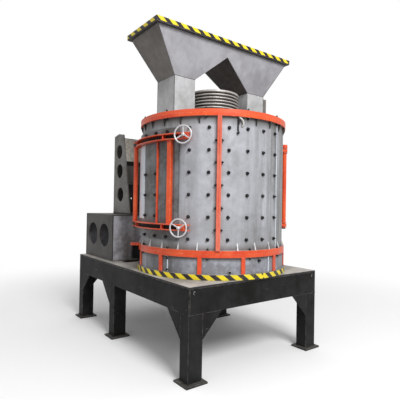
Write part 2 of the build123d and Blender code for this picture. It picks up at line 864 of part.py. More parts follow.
def motor_plate():
    """Upright plate between the gussets, drilled for the motor's feet."""
    x0 = motor_gusset_back
    plate = block(x0, x0 + motor_plate_thickness, -motor_gusset_y, motor_gusset_y,
                  motor_box_top + stand_foot_thickness, motor_gusset_top)
    for y in (-motor_plate_hole_y, motor_plate_hole_y):
        for z in (motor_plate_hole_low, motor_plate_hole_high):
            plate -= Pos(x0, y, z) * Rot(0, 90, 0) * Cylinder(motor_plate_hole, 4 * motor_plate_thickness)
    return plate


def front_panel():
    """Panel between the gussets at the top of their front edge."""
    low = (gusset_front_x(front_panel_low), front_panel_low)
    high = (gusset_front_x(front_panel_high), front_panel_high)
    back = front_panel_thickness
    outline = [low, high, (high[0] - back, high[1]), (low[0] - back, low[1])]
    return profile_xz(outline, -motor_gusset_y, motor_gusset_y)


def lower_panel():
    """Set-back panel between the gussets, below the front panel."""
    front = gusset_front_x(lower_panel_high) - lower_panel_setback
    return block(front - front_panel_thickness, front, -motor_gusset_y, motor_gusset_y, lower_panel_low,
                 lower_panel_high)


def build_motor_stand():
    """Box on the deck and the open stand that carries the motor plate."""
    box_ends = [motor_box_end(motor_box_front - motor_box_plate), motor_box_end(motor_box_back)]
    half_box = motor_box_width / 2
    top = block(motor_box_back, motor_box_front, -half_box, half_box, motor_box_top - motor_box_plate,
                motor_box_top)
    return {
        "motor_box_sides": both_sides([motor_box_side()]),
        "motor_box_ends": all_of(box_ends),
        "motor_box_top": top,
        "motor_stand_foot": motor_foot_frame(),
        "motor_gussets": both_sides([motor_gusset()]),
        "motor_plate": motor_plate(),
        "motor_front_panel": front_panel(),
        "motor_lower_panel": lower_panel(),
    }


def main():
    """Build every piece and write one STEP file for each."""
    os.makedirs("parts", exist_ok=True)
    pieces = build_stand() | build_drum() | build_rotor() | build_doors() | build_hopper()
    pieces |= build_motor_stand()
    for name, piece in pieces.items():
        export_step(piece, f"parts/{name}.step")
    print(len(pieces), "pieces")


main()
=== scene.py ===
"""Looks of the vertical compound crusher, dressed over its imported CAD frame.

A grey drum with two curved, red-framed doors stands on a black six-legged stand. A grooved
pulley turns on its lid, under a hopper with two chutes, and an empty motor stand fills the
other end of the deck. All sizes are in metres, in the frame of the CAD part.
"""

from __future__ import annotations

import json
import logging
import math
from collections.abc import Callable, Iterator, Sequence
from contextlib import contextmanager
from dataclasses import dataclass
from enum import Enum

import bmesh
import bpy
from mathutils import Matrix, Vector

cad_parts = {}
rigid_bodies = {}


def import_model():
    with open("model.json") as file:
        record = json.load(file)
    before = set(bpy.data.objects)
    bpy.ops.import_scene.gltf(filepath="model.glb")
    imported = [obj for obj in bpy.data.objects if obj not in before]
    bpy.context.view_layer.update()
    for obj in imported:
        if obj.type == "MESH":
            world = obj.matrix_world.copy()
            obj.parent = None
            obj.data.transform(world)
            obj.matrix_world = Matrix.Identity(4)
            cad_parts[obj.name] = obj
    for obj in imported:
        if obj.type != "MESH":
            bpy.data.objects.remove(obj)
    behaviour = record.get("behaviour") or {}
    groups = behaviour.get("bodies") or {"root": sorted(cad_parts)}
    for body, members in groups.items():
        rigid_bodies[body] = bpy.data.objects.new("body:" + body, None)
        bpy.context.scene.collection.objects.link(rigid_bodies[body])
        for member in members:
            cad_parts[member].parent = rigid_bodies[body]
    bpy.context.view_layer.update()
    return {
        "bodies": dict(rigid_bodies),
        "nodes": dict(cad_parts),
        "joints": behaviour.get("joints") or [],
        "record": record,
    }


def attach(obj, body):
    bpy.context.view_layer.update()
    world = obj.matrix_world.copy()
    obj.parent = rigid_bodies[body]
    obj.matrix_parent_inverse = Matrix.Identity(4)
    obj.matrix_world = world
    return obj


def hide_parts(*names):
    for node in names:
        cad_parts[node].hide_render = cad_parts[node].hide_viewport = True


log = logging.getLogger("crusher")

Piece = bpy.types.Object
Socket = bpy.types.NodeSocket
Tone = tuple[int, int, int]
Spot = tuple[float, float, float]
Pair = tuple[float, float]
Profile = Sequence[Pair]

AXIS_X = 0.550  # the drum's upright axis stands at this X, over Y = 0
HAIR = 0.001  # keeps the faces of a new piece and of its seat out of one plane
ORIGIN: Spot = (0.0, 0.0, 0.0)
WHITE = (1.0, 1.0, 1.0, 1.0)


class Body(Enum):
    """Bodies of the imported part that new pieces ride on."""

    BASE = "base"
    ROTOR = "rotor"
    DOOR_FRONT = "door_front"
    DOOR_REAR = "door_rear"
    WHEEL_FRONT_TOP = "handwheel_front_top"
    WHEEL_FRONT_BOTTOM = "handwheel_front_bottom"
    WHEEL_REAR_TOP = "handwheel_rear_top"
    WHEEL_REAR_BOTTOM = "handwheel_rear_bottom"


class Side(Enum):
    """Side of the drum: the front faces -Y, and the rear is the front turned half round."""

    FRONT = -1
    REAR = 1


def linear(tone: Tone) -> tuple[float, float, float, float]:
    """Turn a screen tone into a shader colour.

    Args:
        tone: Red, green and blue from 0 to 255, as on a screen.

    Returns:
        The linear colour with an alpha of 1.
    """
    parts = [part / 255 for part in tone]
    red, green, blue = (p / 12.92 if p <= 0.04045 else ((p + 0.055) / 1.055) ** 2.4 for p in parts)
    return (red, green, blue, 1.0)


def around(radius: float, angle: float, z: float) -> Spot:
    """Give a point round the drum's axis.

    Args:
        radius: Distance from the axis.
        angle: Degrees from +X, counterclockwise from above.
        z: Height.

    Returns:
        The point.
    """
    turn = math.radians(angle)
    return (AXIS_X + radius * math.cos(turn), radius * math.sin(turn), z)


# Shader effects


class Tree:
    """Short hand for laying out one node tree."""

    def __init__(self, tree: bpy.types.NodeTree) -> None:
        """Keep the tree that nodes are added to."""
        self.tree = tree

    def add(self, kind: str, **settings: object) -> bpy.types.Node:
        """Add a node.

        Args:
            kind: The node's type without its "ShaderNode" start.
            settings: Node properties, or inputs named in_0, in_Scale and so on.

        Returns:
            The new node.
        """
        node = self.tree.nodes.new("ShaderNode" + kind)
        for name, value in settings.items():
            if not name.startswith("in_"):
                setattr(node, name, value)
        for name, value in settings.items():
            if name.startswith("in_"):
                self.feed(node, name[3:].replace("_", " "), value)
        return node

    def feed(self, node: bpy.types.Node, name: str, value: object) -> None:
        """Set an input of a node, or link an output to it.

        Args:
            node: The node with the input.
            name: The input's name, or its number.
            value: A plain value, or an output socket.
        """
        socket = node.inputs[int(name) if name.isdigit() else name]
        if isinstance(value, Socket):
            self.tree.links.new(value, socket)
        else:
            socket.default_value = value

    def math(self, operation: str, *values: object, clamp: bool = False) -> Socket:
        """Add a Math node.

        Args:
            operation: What it does.
            values: Its values, in order.
            clamp: Whether the result stays between 0 and 1.

        Returns:
            The result.
        """
        node = self.add("Math", operation=operation, use_clamp=clamp)
        for number, value in enumerate(values):
            self.feed(node, str(number), value)
        return node.outputs[0]

    def plus(self, first: object, second: object, clamp: bool = False) -> Socket:
        """Add two values and return the sum."""
        return self.math("ADD", first, second, clamp=clamp)

    def minus(self, first: object, second: object, clamp: bool = False) -> Socket:
        """Take the second value from the first and return the rest."""
        return self.math("SUBTRACT", first, second, clamp=clamp)

    def times(self, first: object, second: object, clamp: bool = False) -> Socket:
        """Multiply two values and return the product."""
        return self.math("MULTIPLY", first, second, clamp=clamp)

    def blend(self, share: object, first: object, second: object) -> Socket:
        """Mix two colours.

        Args:
            share: The second colour's share.
            first: The first colour.
            second: The second colour.

        Returns:
            The mixed colour.
        """
        node = self.add("Mix", data_type="RGBA")
        for number, value in (("0", share), ("6", first), ("7", second)):
            self.feed(node, number, value)
        return node.outputs[2]

    def ramp(self, value: object, low: float, high: float) -> Socket:
        """Stretch a value so that low becomes 0 and high becomes 1, and return it."""
        return self.add("MapRange", in_Value=value, in_From_Min=low, in_From_Max=high).outputs[0]

    def noise(self, place: object, scale: object, detail: float = 4.0, rough: float = 0.55) -> Socket:
        """Add a Noise Texture and return its value."""
        node = self.add("TexNoise", in_Vector=place, in_Scale=scale, in_Detail=detail, in_Roughness=rough)
        return node.outputs["Fac"]

    def mapped(self, place: object, **settings: object) -> Socket:
        """Move, turn or scale a pattern's place and return it."""
        return self.add("Mapping", in_Vector=place, **settings).outputs[0]

    def from_axis(self, place: object, flat: bool = True) -> Socket:
        """Measure a place from the drum's axis, without its height where flat, and return it."""
        scale = (1, 1, 0) if flat else (1, 1, 1)
        return self.mapped(place, in_Location=(-AXIS_X, 0, 0), in_Scale=scale)

    def part(self, vector: object, axis: str) -> Socket:
        """Give a vector's part along "X", "Y" or "Z"."""
        return self.add("SeparateXYZ", in_Vector=vector).outputs[axis]

    def upward(self, normal: str = "Normal") -> Socket:
        """Give how far the surface looks up, by its shaded or its true normal."""
        return self.part(self.add("NewGeometry").outputs[normal], "Z")


class Effect(Tree):
    """A shader node group that several finishes share. Each subclass lays out one."""

    label: str = ""
    inputs: dict[str, object] = {"Place": ORIGIN, "Amount": 0.4}
    outputs: tuple[str, ...] = ("Mask",)

    def __init__(self) -> None:
        """Add the group with its sockets and lay it out. A tuple makes a vector input."""
        super().__init__(bpy.data.node_groups.new(self.label, "ShaderNodeTree"))
        for name, value in self.inputs.items():
            kind = "NodeSocketVector" if isinstance(value, tuple) else "NodeSocketFloat"
            self.tree.interface.new_socket(name, in_out="INPUT", socket_type=kind).default_value = value
        for name in self.outputs:
            kind = "NodeSocketVector" if name == "Normal" else "NodeSocketFloat"
            self.tree.interface.new_socket(name, in_out="OUTPUT", socket_type=kind)
        self.given = self.tree.nodes.new("NodeGroupInput").outputs
        self.result = self.tree.nodes.new("NodeGroupOutput")
        self.lay_out()

    @classmethod
    def group(cls) -> bpy.types.NodeTree:
        """Give the node group, and build it the first time."""
        made = bpy.data.node_groups.get(cls.label)
        return made if made is not None else cls().tree

    def lay_out(self) -> None:
        """Add the group's nodes."""

    def put_out(self, name: str, value: Socket) -> None:
        """Link a value to one of the group's outputs."""
        self.feed(self.result, name, value)

    def put_mask(self, share: Socket) -> None:
        """Put out a share of the surface as the mask, scaled by the wanted amount."""
        self.put_out("Mask", self.times(share, self.given["Amount"], clamp=True))


class Mottle(Effect):
    """Cloudy blotches, as in rolled plate under thin paint."""

    label = "mottle"
    inputs = {"Place": ORIGIN, "Scale": 3.0, "Contrast": 0.5}

    def lay_out(self) -> None:
        """Mix a large and a small noise, and stretch the result about its middle."""
        large = self.noise(self.given["Place"], self.given["Scale"], 5.0, 0.62)
        small = self.noise(self.given["Place"], self.times(self.given["Scale"], 6.3), 3.0)
        mixed = self.plus(self.times(large, 0.72), self.times(small, 0.28))
        spread = self.times(self.minus(mixed, 0.5), self.times(self.given["Contrast"], 8.0))
        self.put_out("Mask", self.plus(spread, 0.5, clamp=True))


class WornEdge(Effect):
    """Softened edges and the worn line along them."""

    label = "worn_edge"
    inputs = {"Place": ORIGIN, "Radius": 0.004, "Amount": 0.5}
    outputs = ("Mask", "Normal")

    def lay_out(self) -> None:
        """Compare the bevelled with the true normal, and break the line up."""
        soft = self.add("Bevel", samples=4, in_Radius=self.given["Radius"]).outputs[0]
        true = self.add("NewGeometry").outputs["Normal"]
        agree = self.add("VectorMath", operation="DOT_PRODUCT", in_0=soft, in_1=true)
        bent = self.ramp(self.minus(1.0, agree.outputs["Value"]), 0.02, 0.16)
        broken = self.ramp(self.noise(self.given["Place"], 16.0, 6.0, 0.7), 0.42, 0.62)
        self.put_mask(self.times(bent, broken))
        self.put_out("Normal", soft)


class Crevice(Effect):
    """Dirt that gathers in corners and behind fasteners."""

    label = "crevice_dirt"
    inputs = {"Place": ORIGIN, "Reach": 0.05, "Amount": 0.5}

    def lay_out(self) -> None:
        """Take the hidden corners, and break them up."""
        near = self.add("AmbientOcclusion", samples=6, in_Distance=self.given["Reach"])
        hidden = self.ramp(self.minus(1.0, near.outputs["AO"]), 0.12, 0.75)
        broken = self.ramp(self.noise(self.given["Place"], 9.0, 5.0), 0.3, 0.7)
        self.put_mask(self.times(hidden, self.plus(self.times(broken, 0.6), 0.4)))


class Streaks(Effect):
    """Faint upright runs on standing faces."""

    label = "drip_streaks"

    def lay_out(self) -> None:
        """Cross fine and broad upright noises, and leave out the level faces."""
        fine = self.noise(self.mapped(self.given["Place"], in_Scale=(11.0, 11.0, 0.9)), 1.0, 5.0, 0.6)
        broad = self.noise(self.mapped(self.given["Place"], in_Scale=(3.0, 3.0, 0.7)), 1.0, 3.0)
        runs = self.times(self.ramp(fine, 0.5, 0.72), self.ramp(broad, 0.42, 0.66))
        standing = self.minus(1.0, self.math("ABSOLUTE", self.upward()))
        self.put_mask(self.times(runs, standing))


class Dust(Effect):
    """Pale settled grit on faces that look up, which on the red finishes is a painted sheen as well."""

    label = "settled_dust_and_sheen"
    inputs = {"Place": ORIGIN, "Amount": 0.5}

    def lay_out(self) -> None:
        """Take the faces that look up, and make them patchy."""
        level = self.ramp(self.upward(), 0.35, 0.95)
        patchy = self.ramp(self.noise(self.given["Place"], 7.0, 6.0, 0.65), 0.3, 0.7)
        self.put_mask(self.times(level, self.plus(self.times(patchy, 0.7), 0.3)))


class Grain(Effect):
    """The orange peel of sprayed paint over rolled plate."""

    label = "paint_grain"
    inputs = {"Place": ORIGIN, "Scale": 60.0}
    outputs = ("Height",)

    def lay_out(self) -> None:
        """Lay small cells over slow waves."""
        peel = self.add("TexVoronoi", feature="SMOOTH_F1", in_Vector=self.given["Place"],
                        in_Scale=self.given["Scale"])
        wavy = self.noise(self.given["Place"], 4.0, 3.0)
        self.put_out("Height", self.plus(self.times(peel.outputs["Distance"], 0.35), wavy))


class Scratches(Effect):
    """Thin crossing scratches."""

    label = "scratches"
    directions = ((0.5, (3.0, 60.0, 22.0)), (-0.7, (48.0, 4.0, 30.0)))

    def lay_out(self) -> None:
        """Stretch a noise in each direction, and keep the scratches in patches."""
        lines = []
        for turn, scale in self.directions:
            place = self.mapped(self.given["Place"], in_Rotation=(turn, turn / 2, turn), in_Scale=scale)
            lines.append(self.ramp(self.noise(place, 1.0, 2.0), 0.7, 0.76))
        patchy = self.ramp(self.noise(self.given["Place"], 5.0), 0.5, 0.65)
        self.put_mask(self.times(self.math("MAXIMUM", *lines), patchy))


class Stripes(Effect):
    """Slanting warning stripes on the tape's own UV map, in metres. The mask is the dark ones."""

    label = "hazard_stripes"
    inputs = {"UV": ORIGIN, "Pitch": 0.14, "Slant": 0.9}

    def lay_out(self) -> None:
        """Count along the slanting direction, and make every second half dark."""
        split = self.add("SeparateXYZ", in_Vector=self.given["UV"]).outputs
        along = self.plus(split["X"], self.times(split["Y"], self.given["Slant"]))
        turn = self.math("FRACT", self.math("DIVIDE", along, self.given["Pitch"]))
        dark = self.minus(self.ramp(turn, 0.485, 0.515), self.ramp(turn, 0.97, 1.0), clamp=True)
        self.put_out("Mask", dark)


class Turned(Effect):
    """Fine tool rings of parts turned about the drum's axis."""

    label = "turned_rings"
    inputs = {"Place": ORIGIN, "Rings": 900.0}
    outputs = ("Height",)

    def lay_out(self) -> None:
        """Make waves along the distance from the axis and up it."""
        split = self.add("SeparateXYZ", in_Vector=self.from_axis(self.given["Place"], flat=False)).outputs
        flat = self.plus(self.math("POWER", split["X"], 2.0), self.math("POWER", split["Y"], 2.0))
        reach = self.plus(self.math("SQRT", flat), split["Z"])
        self.put_out("Height", self.math("SINE", self.times(reach, self.given["Rings"])))


class Swirls(Effect):
    """Arcs that a disc sander leaves on plate."""

    label = "sanding_swirls"
    inputs = {"Place": ORIGIN, "Scale": 3.4, "Rings": 105.0}

    def lay_out(self) -> None:
        """Ring scattered spots, and keep the arcs fine and patchy."""
        spots = self.add("TexVoronoi", feature="F1", in_Vector=self.given["Place"],
                         in_Scale=self.given["Scale"])
        rings = self.math("SINE", self.times(spots.outputs["Distance"], self.given["Rings"]))
        patchy = self.ramp(self.noise(self.given["Place"], 2.3, 4.0), 0.42, 0.68)
        fine = self.ramp(self.noise(self.given["Place"], 70.0, 3.0, 0.7), 0.3, 0.7)
        self.put_out("Mask", self.times(self.ramp(rings, -0.2, 1.0), self.times(patchy, fine), clamp=True))


# Finishes


@dataclass(frozen=True)
class Finish:
    """Sprayed or unpainted steel with blotches, soiling, settled grit and worn edges; on some finishes
    their tones also paint shade and highlights.
    """

    name: str
    slot: str
    tone: Tone
    second: Tone
    bare: Tone = (160, 156, 150)
    dirt: Tone = (54, 48, 44)
    dust_tone: Tone = (176, 172, 164)
    blotch_scale: float = 2.2
    blotches: float = 0.5
    wear: float = 0.6
    edge: float = 0.004
    crevices: float = 0.5
    streaks: float = 0.3
    dust: float = 0.3
    scratches: float = 0.2
    roughness: float = 0.5
    metallic: float = 0.0
    coat: float = 0.0
    shine: float = 0.5
    grain_scale: float = 60.0
    grain_depth: float = 0.0012

    def effect(self, tree: Tree, kind: type[Effect], **values: object) -> bpy.types.Node:
        """Place a shared effect in a material.

        Args:
            tree: The material's tree.
            kind: The effect.
            values: Its inputs by name.

        Returns:
            The group's node.
        """
        node = tree.add("Group", node_tree=kind.group())
        for name, value in values.items():
            tree.feed(node, name, value)
        return node

    def paint(self, tree: Tree, place: Socket) -> Socket:
        """Give the clean surface's colour, before dirt and wear.

        Args:
            tree: The material's tree.
            place: The pattern's place on the piece.

        Returns:
            The colour.
        """
        blotch = self.effect(tree, Mottle, Place=place, Scale=self.blotch_scale, Contrast=self.blotches)
        return tree.blend(blotch.outputs["Mask"], linear(self.tone), linear(self.second))

    def height(self, tree: Tree, place: Socket) -> Socket:
        """Give the surface's small relief.

        Args:
            tree: The material's tree.
            place: The pattern's place on the piece.

        Returns:
            The height.
        """
        return self.effect(tree, Grain, Place=place, Scale=self.grain_scale).outputs["Height"]

    def material(self) -> bpy.types.Material:
        """Give the finish's material, and build it the first time.

        Returns:
            The material.
        """
        label = f"{self.name}_finish"
        made = bpy.data.materials.get(label)
        if made is not None:
            return made
        made = bpy.data.materials.new(label)
        made.use_nodes = True
        made.node_tree.nodes.clear()
        tree = Tree(made.node_tree)
        place = tree.add("TexCoord").outputs["Object"]
        worn = self.effect(tree, WornEdge, Place=place, Radius=self.edge, Amount=self.wear)
        crevice = self.effect(tree, Crevice, Place=place, Amount=self.crevices)
        dust = self.effect(tree, Dust, Place=place, Amount=self.dust)
        # On the red finishes the pinkish tones laid on worn edges, scratches and upward faces are painted
        # highlights and sheen as well as wear.
        layers = (
            (self.effect(tree, Streaks, Place=place, Amount=self.streaks), self.dirt),
            (self.effect(tree, Scratches, Place=place, Amount=self.scratches), self.bare),
            (worn, self.bare),
            (crevice, self.dirt),
            (dust, self.dust_tone),
        )
        colour = self.paint(tree, place)
        for layer, tone in layers:
            colour = tree.blend(layer.outputs["Mask"], colour, linear(tone))
        dull = tree.plus(dust.outputs["Mask"], crevice.outputs["Mask"])
        cloudy = tree.plus(tree.times(tree.noise(place, 5.0), 0.16), self.roughness - 0.08)
        rough = tree.plus(cloudy, tree.times(dull, 0.25), clamp=True)
        bump = tree.add("Bump", in_Strength=0.6, in_Distance=self.grain_depth,
                        in_Height=self.height(tree, place), in_Normal=worn.outputs["Normal"])
        shader = tree.add("BsdfPrincipled", in_Base_Color=colour, in_Roughness=rough,
                          in_Metallic=self.metallic, in_Coat_Weight=self.coat, in_Coat_Roughness=0.25,
                          in_Specular_IOR_Level=self.shine, in_Normal=bump.outputs[0])
        tree.add("OutputMaterial", in_Surface=shader.outputs[0])
        return made


@dataclass(frozen=True)
class RimmedFinish(Finish):
    """Plate with one paint on its top and another on its edges and below."""

    rim: Tone = (30, 27, 29)

    def paint(self, tree: Tree, place: Socket) -> Socket:
        """Give the plate's own tone on its top and the rim's tone elsewhere."""
        top = super().paint(tree, place)
        return tree.blend(tree.ramp(tree.upward("True Normal"), 0.5, 0.6), linear(self.rim), top)


@dataclass(frozen=True)
class SandedFinish(Finish):
    """Plate with the arcs of a disc sander under its thin paint."""

    swirl: Tone = (208, 210, 216)
    swirls: float = 0.4

    def paint(self, tree: Tree, place: Socket) -> Socket:
        """Give the plate's tone with lighter arcs.

        Args:
            tree: The material's tree.
            place: The pattern's place on the piece.

        Returns:
            The colour.
        """
        ground = super().paint(tree, place)
        arcs = self.effect(tree, Swirls, Place=place).outputs["Mask"]
        return tree.blend(tree.times(arcs, self.swirls), ground, linear(self.swirl))


@dataclass(frozen=True)
class ShellFinish(SandedFinish):
    """Sanded plate of the drum, with painted shade mixed with stains in bands round the axis, a painted
    shadow below its flange, and painted shade mixed with soiling at its foot.

    Each band has its angle, its spread to each side and its strength. It shows at the opposite
    angle too.
    """

    grime: Tone = (84, 79, 73)
    grimy: tuple[Spot, ...] = ((-61.0, 14.0, 0.7), (-97.0, 42.0, 0.95), (20.0, 46.0, 0.95))
    flange: float = 2.578
    shadow: float = 0.08
    foot: float = 1.206
    foot_grime: float = 0.6

    def paint(self, tree: Tree, place: Socket) -> Socket:
        """Give the sanded tone with its bands of painted shade and stains, the painted shadow below the
        flange, and the painted shade with soiling at the foot.

        Args:
            tree: The material's tree.
            place: The pattern's place on the piece.

        Returns:
            The colour.
        """
        colour = super().paint(tree, place)
        out = tree.add("VectorMath", operation="NORMALIZE", in_0=tree.from_axis(place)).outputs[0]
        runs = tree.ramp(tree.noise(tree.mapped(place, in_Scale=(9.0, 9.0, 0.6)), 1.0, 5.0, 0.6), 0.25, 0.7)
        # Each band is painted shade on one side of the drum, mixed with stains.
        for angle, spread, amount in self.grimy:
            turn = math.radians(angle)
            dot = tree.add("VectorMath", operation="DOT_PRODUCT", in_0=out,
                           in_1=(math.cos(turn), math.sin(turn), 0.0)).outputs["Value"]
            near = tree.ramp(tree.math("ABSOLUTE", dot), math.cos(math.radians(spread)), 0.998)
            share = tree.times(tree.times(near, runs), amount, clamp=True)
            colour = tree.blend(share, colour, linear(self.grime))
        ragged = tree.plus(tree.part(place, "Z"), tree.times(tree.noise(place, 6.0), 0.03))
        # Painted shadow just below the flange.
        below = tree.ramp(ragged, self.flange - self.shadow, self.flange)
        colour = tree.blend(tree.times(below, 0.85), colour, linear(self.dirt))
        # Painted shade mixed with soiling just above the foot.
        above = tree.ramp(ragged, self.foot + 0.085, self.foot + 0.03)
        return tree.blend(tree.times(above, self.foot_grime), colour, linear(self.grime))


@dataclass(frozen=True)
class TapeFinish(Finish):
    """Yellow tape with slanting dark stripes, read from the piece's own UV map."""

    stripe: Tone = (34, 29, 34)
    pitch: float = 0.145
    slant: float = 1.25

    def paint(self, tree: Tree, place: Socket) -> Socket:
        """Give the tape's yellow crossed by its stripes.

        Args:
            tree: The material's tree.
            place: The pattern's place on the piece.

        Returns:
            The colour.
        """
        ground = super().paint(tree, place)
        where = tree.add("UVMap", uv_map="tape").outputs[0]
        stripes = self.effect(tree, Stripes, UV=where, Pitch=self.pitch, Slant=self.slant)
        rubbed = tree.ramp(tree.noise(place, 26.0, 6.0, 0.7), 0.25, 0.38)
        return tree.blend(tree.times(stripes.outputs["Mask"], rubbed), ground, linear(self.stripe))


@dataclass(frozen=True)
class TurnedFinish(Finish):
    """Bare steel with the rings that turning leaves, and dark grooves within a span of radii."""

    rings: float = 900.0
    groove: Tone = (52, 46, 44)
    groove_span: tuple[float, float] = (0.0, 0.0)

    def paint(self, tree: Tree, place: Socket) -> Socket:
        """Give the steel's tone, darkened on standing faces within the grooves' span of radii.

        Args:
            tree: The material's tree.
            place: The pattern's place on the piece.

        Returns:
            The colour.
        """
        ground = super().paint(tree, place)
        low, high = self.groove_span
        if high <= low:
            return ground
        reach = tree.add("VectorMath", operation="LENGTH", in_0=tree.from_axis(place)).outputs["Value"]
        standing = tree.ramp(tree.math("ABSOLUTE", tree.upward("True Normal")), 0.95, 0.8)
        deep = tree.times(tree.ramp(reach, high, high - 0.006), tree.ramp(reach, low, low + 0.004))
        return tree.blend(tree.times(deep, standing), ground, linear(self.groove))

    def height(self, tree: Tree, place: Socket) -> Socket:
        """Give the tool rings as relief."""
        return self.effect(tree, Turned, Place=place, Rings=self.rings).outputs["Height"]


BLACK = Finish("black_paint", "black_steel", (20, 20, 18), (46, 46, 47), bare=(150, 146, 138),
               dirt=(48, 44, 38), dust_tone=(120, 116, 110), blotch_scale=1.7, wear=0.95, edge=0.008,
               dust=0.18, scratches=0.5, shine=0.1)
FOOT = Finish("foot_plate_paint", "black_steel", (34, 33, 32), (64, 62, 60), bare=(168, 166, 160),
              dust_tone=(132, 128, 122), blotch_scale=6.0, wear=1.0, edge=0.008, dust=0.35, shine=0.15)
RIM = Finish("hopper_rim_paint", "black_steel", (82, 78, 80), (56, 52, 54), bare=(150, 146, 142),
             blotch_scale=3.0, blotches=0.7, wear=0.7, edge=0.005, roughness=0.45, shine=0.2)
DECK = RimmedFinish("deck_plate_paint", "deck_paint", (188, 184, 178), (140, 136, 132),
                    bare=(204, 200, 196), dirt=(80, 74, 68), blotch_scale=3.4, blotches=0.9, crevices=0.7,
                    dust=0.15, roughness=0.6)
# The bands round the axis are painted shade on the drum's sides mixed with stains, the band below the top
# flange is a painted shadow, and the band at the foot is painted shade mixed with soiling.
GREY = ShellFinish("drum_grey_paint", "grey_paint", (190, 192, 199), (162, 164, 168),
                   bare=(210, 210, 210), dirt=(70, 68, 64), blotch_scale=2.6, blotches=0.6, wear=0.5,
                   streaks=0.45, dust=0.25, scratches=0.35, roughness=0.38, coat=0.12)
# The base's bands round the axis are painted shade mixed with stains, and its band below the base flange is
# a painted shadow.
BASE_GREY = ShellFinish("base_grey_paint", "grey_paint", (168, 171, 180), (128, 128, 134),
                        bare=(196, 196, 196), dirt=(66, 61, 58), blotch_scale=4.2, blotches=0.8, wear=0.5,
                        crevices=0.8, streaks=0.5, scratches=0.35, roughness=0.42, coat=0.1,
                        swirl=(180, 183, 192), grime=(62, 58, 57),
                        grimy=((-82.0, 34.0, 1.0), (14.0, 30.0, 0.5)), flange=1.135, shadow=0.03,
                        foot_grime=0.0)
DOOR = SandedFinish("door_grey_paint", "grey_paint", (118, 120, 124), (82, 80, 78), bare=(178, 176, 172),
                    dirt=(50, 45, 41), blotch_scale=3.4, blotches=0.9, wear=0.45, streaks=0.55, dust=0.2,
                    scratches=0.25, roughness=0.42, coat=0.12, swirl=(152, 154, 158))
PALE = Finish("pale_panel_paint", "grey_paint", (234, 241, 250), (206, 214, 224), bare=(226, 226, 226),
              dirt=(120, 116, 112), wear=0.4, streaks=0.4, dust=0.2, roughness=0.38, coat=0.12)
# Near-white copy of the gusset grey, a painted highlight for the lower gussets.
LIT_GUSSET = Finish("gusset_painted_light", "grey_paint", (224, 224, 226), (188, 187, 188), bare=(214, 212, 208),
                dirt=(74, 67, 62), blotch_scale=9.0, blotches=0.6, roughness=0.42)
# Dark copy of the gusset grey, a painted shade for the upper gussets under the top flange.
SHADED_GUSSET = Finish("upper_gusset_painted_shade", "grey_paint", (66, 65, 64), (48, 46, 45), bare=(150, 148, 144),
                     dirt=(40, 36, 33), blotch_scale=9.0, wear=0.5, dust=0.2, shine=0.2)
# The pinkish tones of its worn edges, scratches and upward faces are painted highlights and sheen as well
# as wear.
RED = Finish("red_paint", "red_paint", (240, 96, 44), (220, 68, 30), bare=(246, 190, 164),
             dirt=(104, 42, 26), dust_tone=(238, 172, 146), blotch_scale=3.0, blotches=0.6, wear=0.9,
             edge=0.006, streaks=0.18, scratches=0.45, roughness=0.34, coat=0.2, shine=0.4)
# Pinker red of the split bars, a painted sheen; its pinkish edges and tops are painted highlights as well
# as wear.
SHEEN_RED = Finish("red_paint_with_sheen", "red_paint", (238, 124, 98), (226, 96, 70), bare=(246, 196, 176),
                   dirt=(104, 42, 26), dust_tone=(238, 178, 156), blotch_scale=3.0, blotches=0.6,
                   wear=0.9, edge=0.005, scratches=0.45, roughness=0.34, coat=0.2, shine=0.4)
LID = RimmedFinish("lid_paint", "red_paint", (168, 168, 170), (136, 134, 132), bare=(220, 166, 146),
                   dirt=(62, 54, 48), blotch_scale=3.0, blotches=0.6, streaks=0.15, dust=0.35,
                   roughness=0.4, coat=0.2, rim=(234, 88, 42))
HOPPER = SandedFinish("hopper_paint", "hopper_paint", (172, 171, 176), (142, 140, 144),
                      bare=(206, 204, 204), dirt=(104, 96, 90), wear=0.5, edge=0.005, streaks=0.5,
                      dust=0.25, roughness=0.42, coat=0.1, swirl=(196, 196, 202), swirls=0.35)
CHUTE = SandedFinish("chute_paint", "hopper_paint", (190, 190, 192), (160, 159, 158),
                     bare=(212, 212, 210), dirt=(98, 92, 84), blotch_scale=3.6, blotches=0.55, wear=0.5,
                     edge=0.005, streaks=0.5, dust=0.25, roughness=0.42, coat=0.1, swirl=(206, 206, 208),
                     swirls=0.35)
# Darker copy of the hopper paint, a painted shade for the end walls, which stand in shade, also laid on the
# chute strip.
SHADED_HOPPER_END = Finish("hopper_end_painted_shade", "hopper_paint", (128, 122, 118), (104, 98, 93),
                    bare=(184, 180, 174), dirt=(66, 58, 50), blotch_scale=2.4, blotches=0.7, wear=0.5,
                    edge=0.005, streaks=0.6, dust=0.25, roughness=0.46, coat=0.1)
SADDLE = Finish("saddle_paint", "hopper_paint", (88, 82, 80), (62, 57, 54), dirt=(46, 40, 36),
                blotch_scale=2.4, blotches=0.7, wear=0.4, streaks=0.6, dust=0.2)
# Darker copy of the stand's grey, a painted shade on the box's sides, also used on its top, foot, plate and
# welds.
SHADED_STAND_GREY = Finish("motor_stand_painted_shade", "grey_paint", (78, 77, 74), (54, 52, 49), bare=(172, 168, 162),
                    dirt=(50, 44, 39), blotch_scale=2.8, blotches=0.65, edge=0.006, streaks=0.5,
                    dust=0.35)
# Lighter copy of the stand's grey, painting light into the shaded lower panel, also used on the gussets.
LIGHTENED_STAND_GREY = Finish("motor_gusset_painted_light", "grey_paint", (136, 134, 130), (104, 101, 96),
                    bare=(176, 172, 166), dirt=(54, 47, 42), blotch_scale=2.8, blotches=0.65, edge=0.006,
                    streaks=0.5)
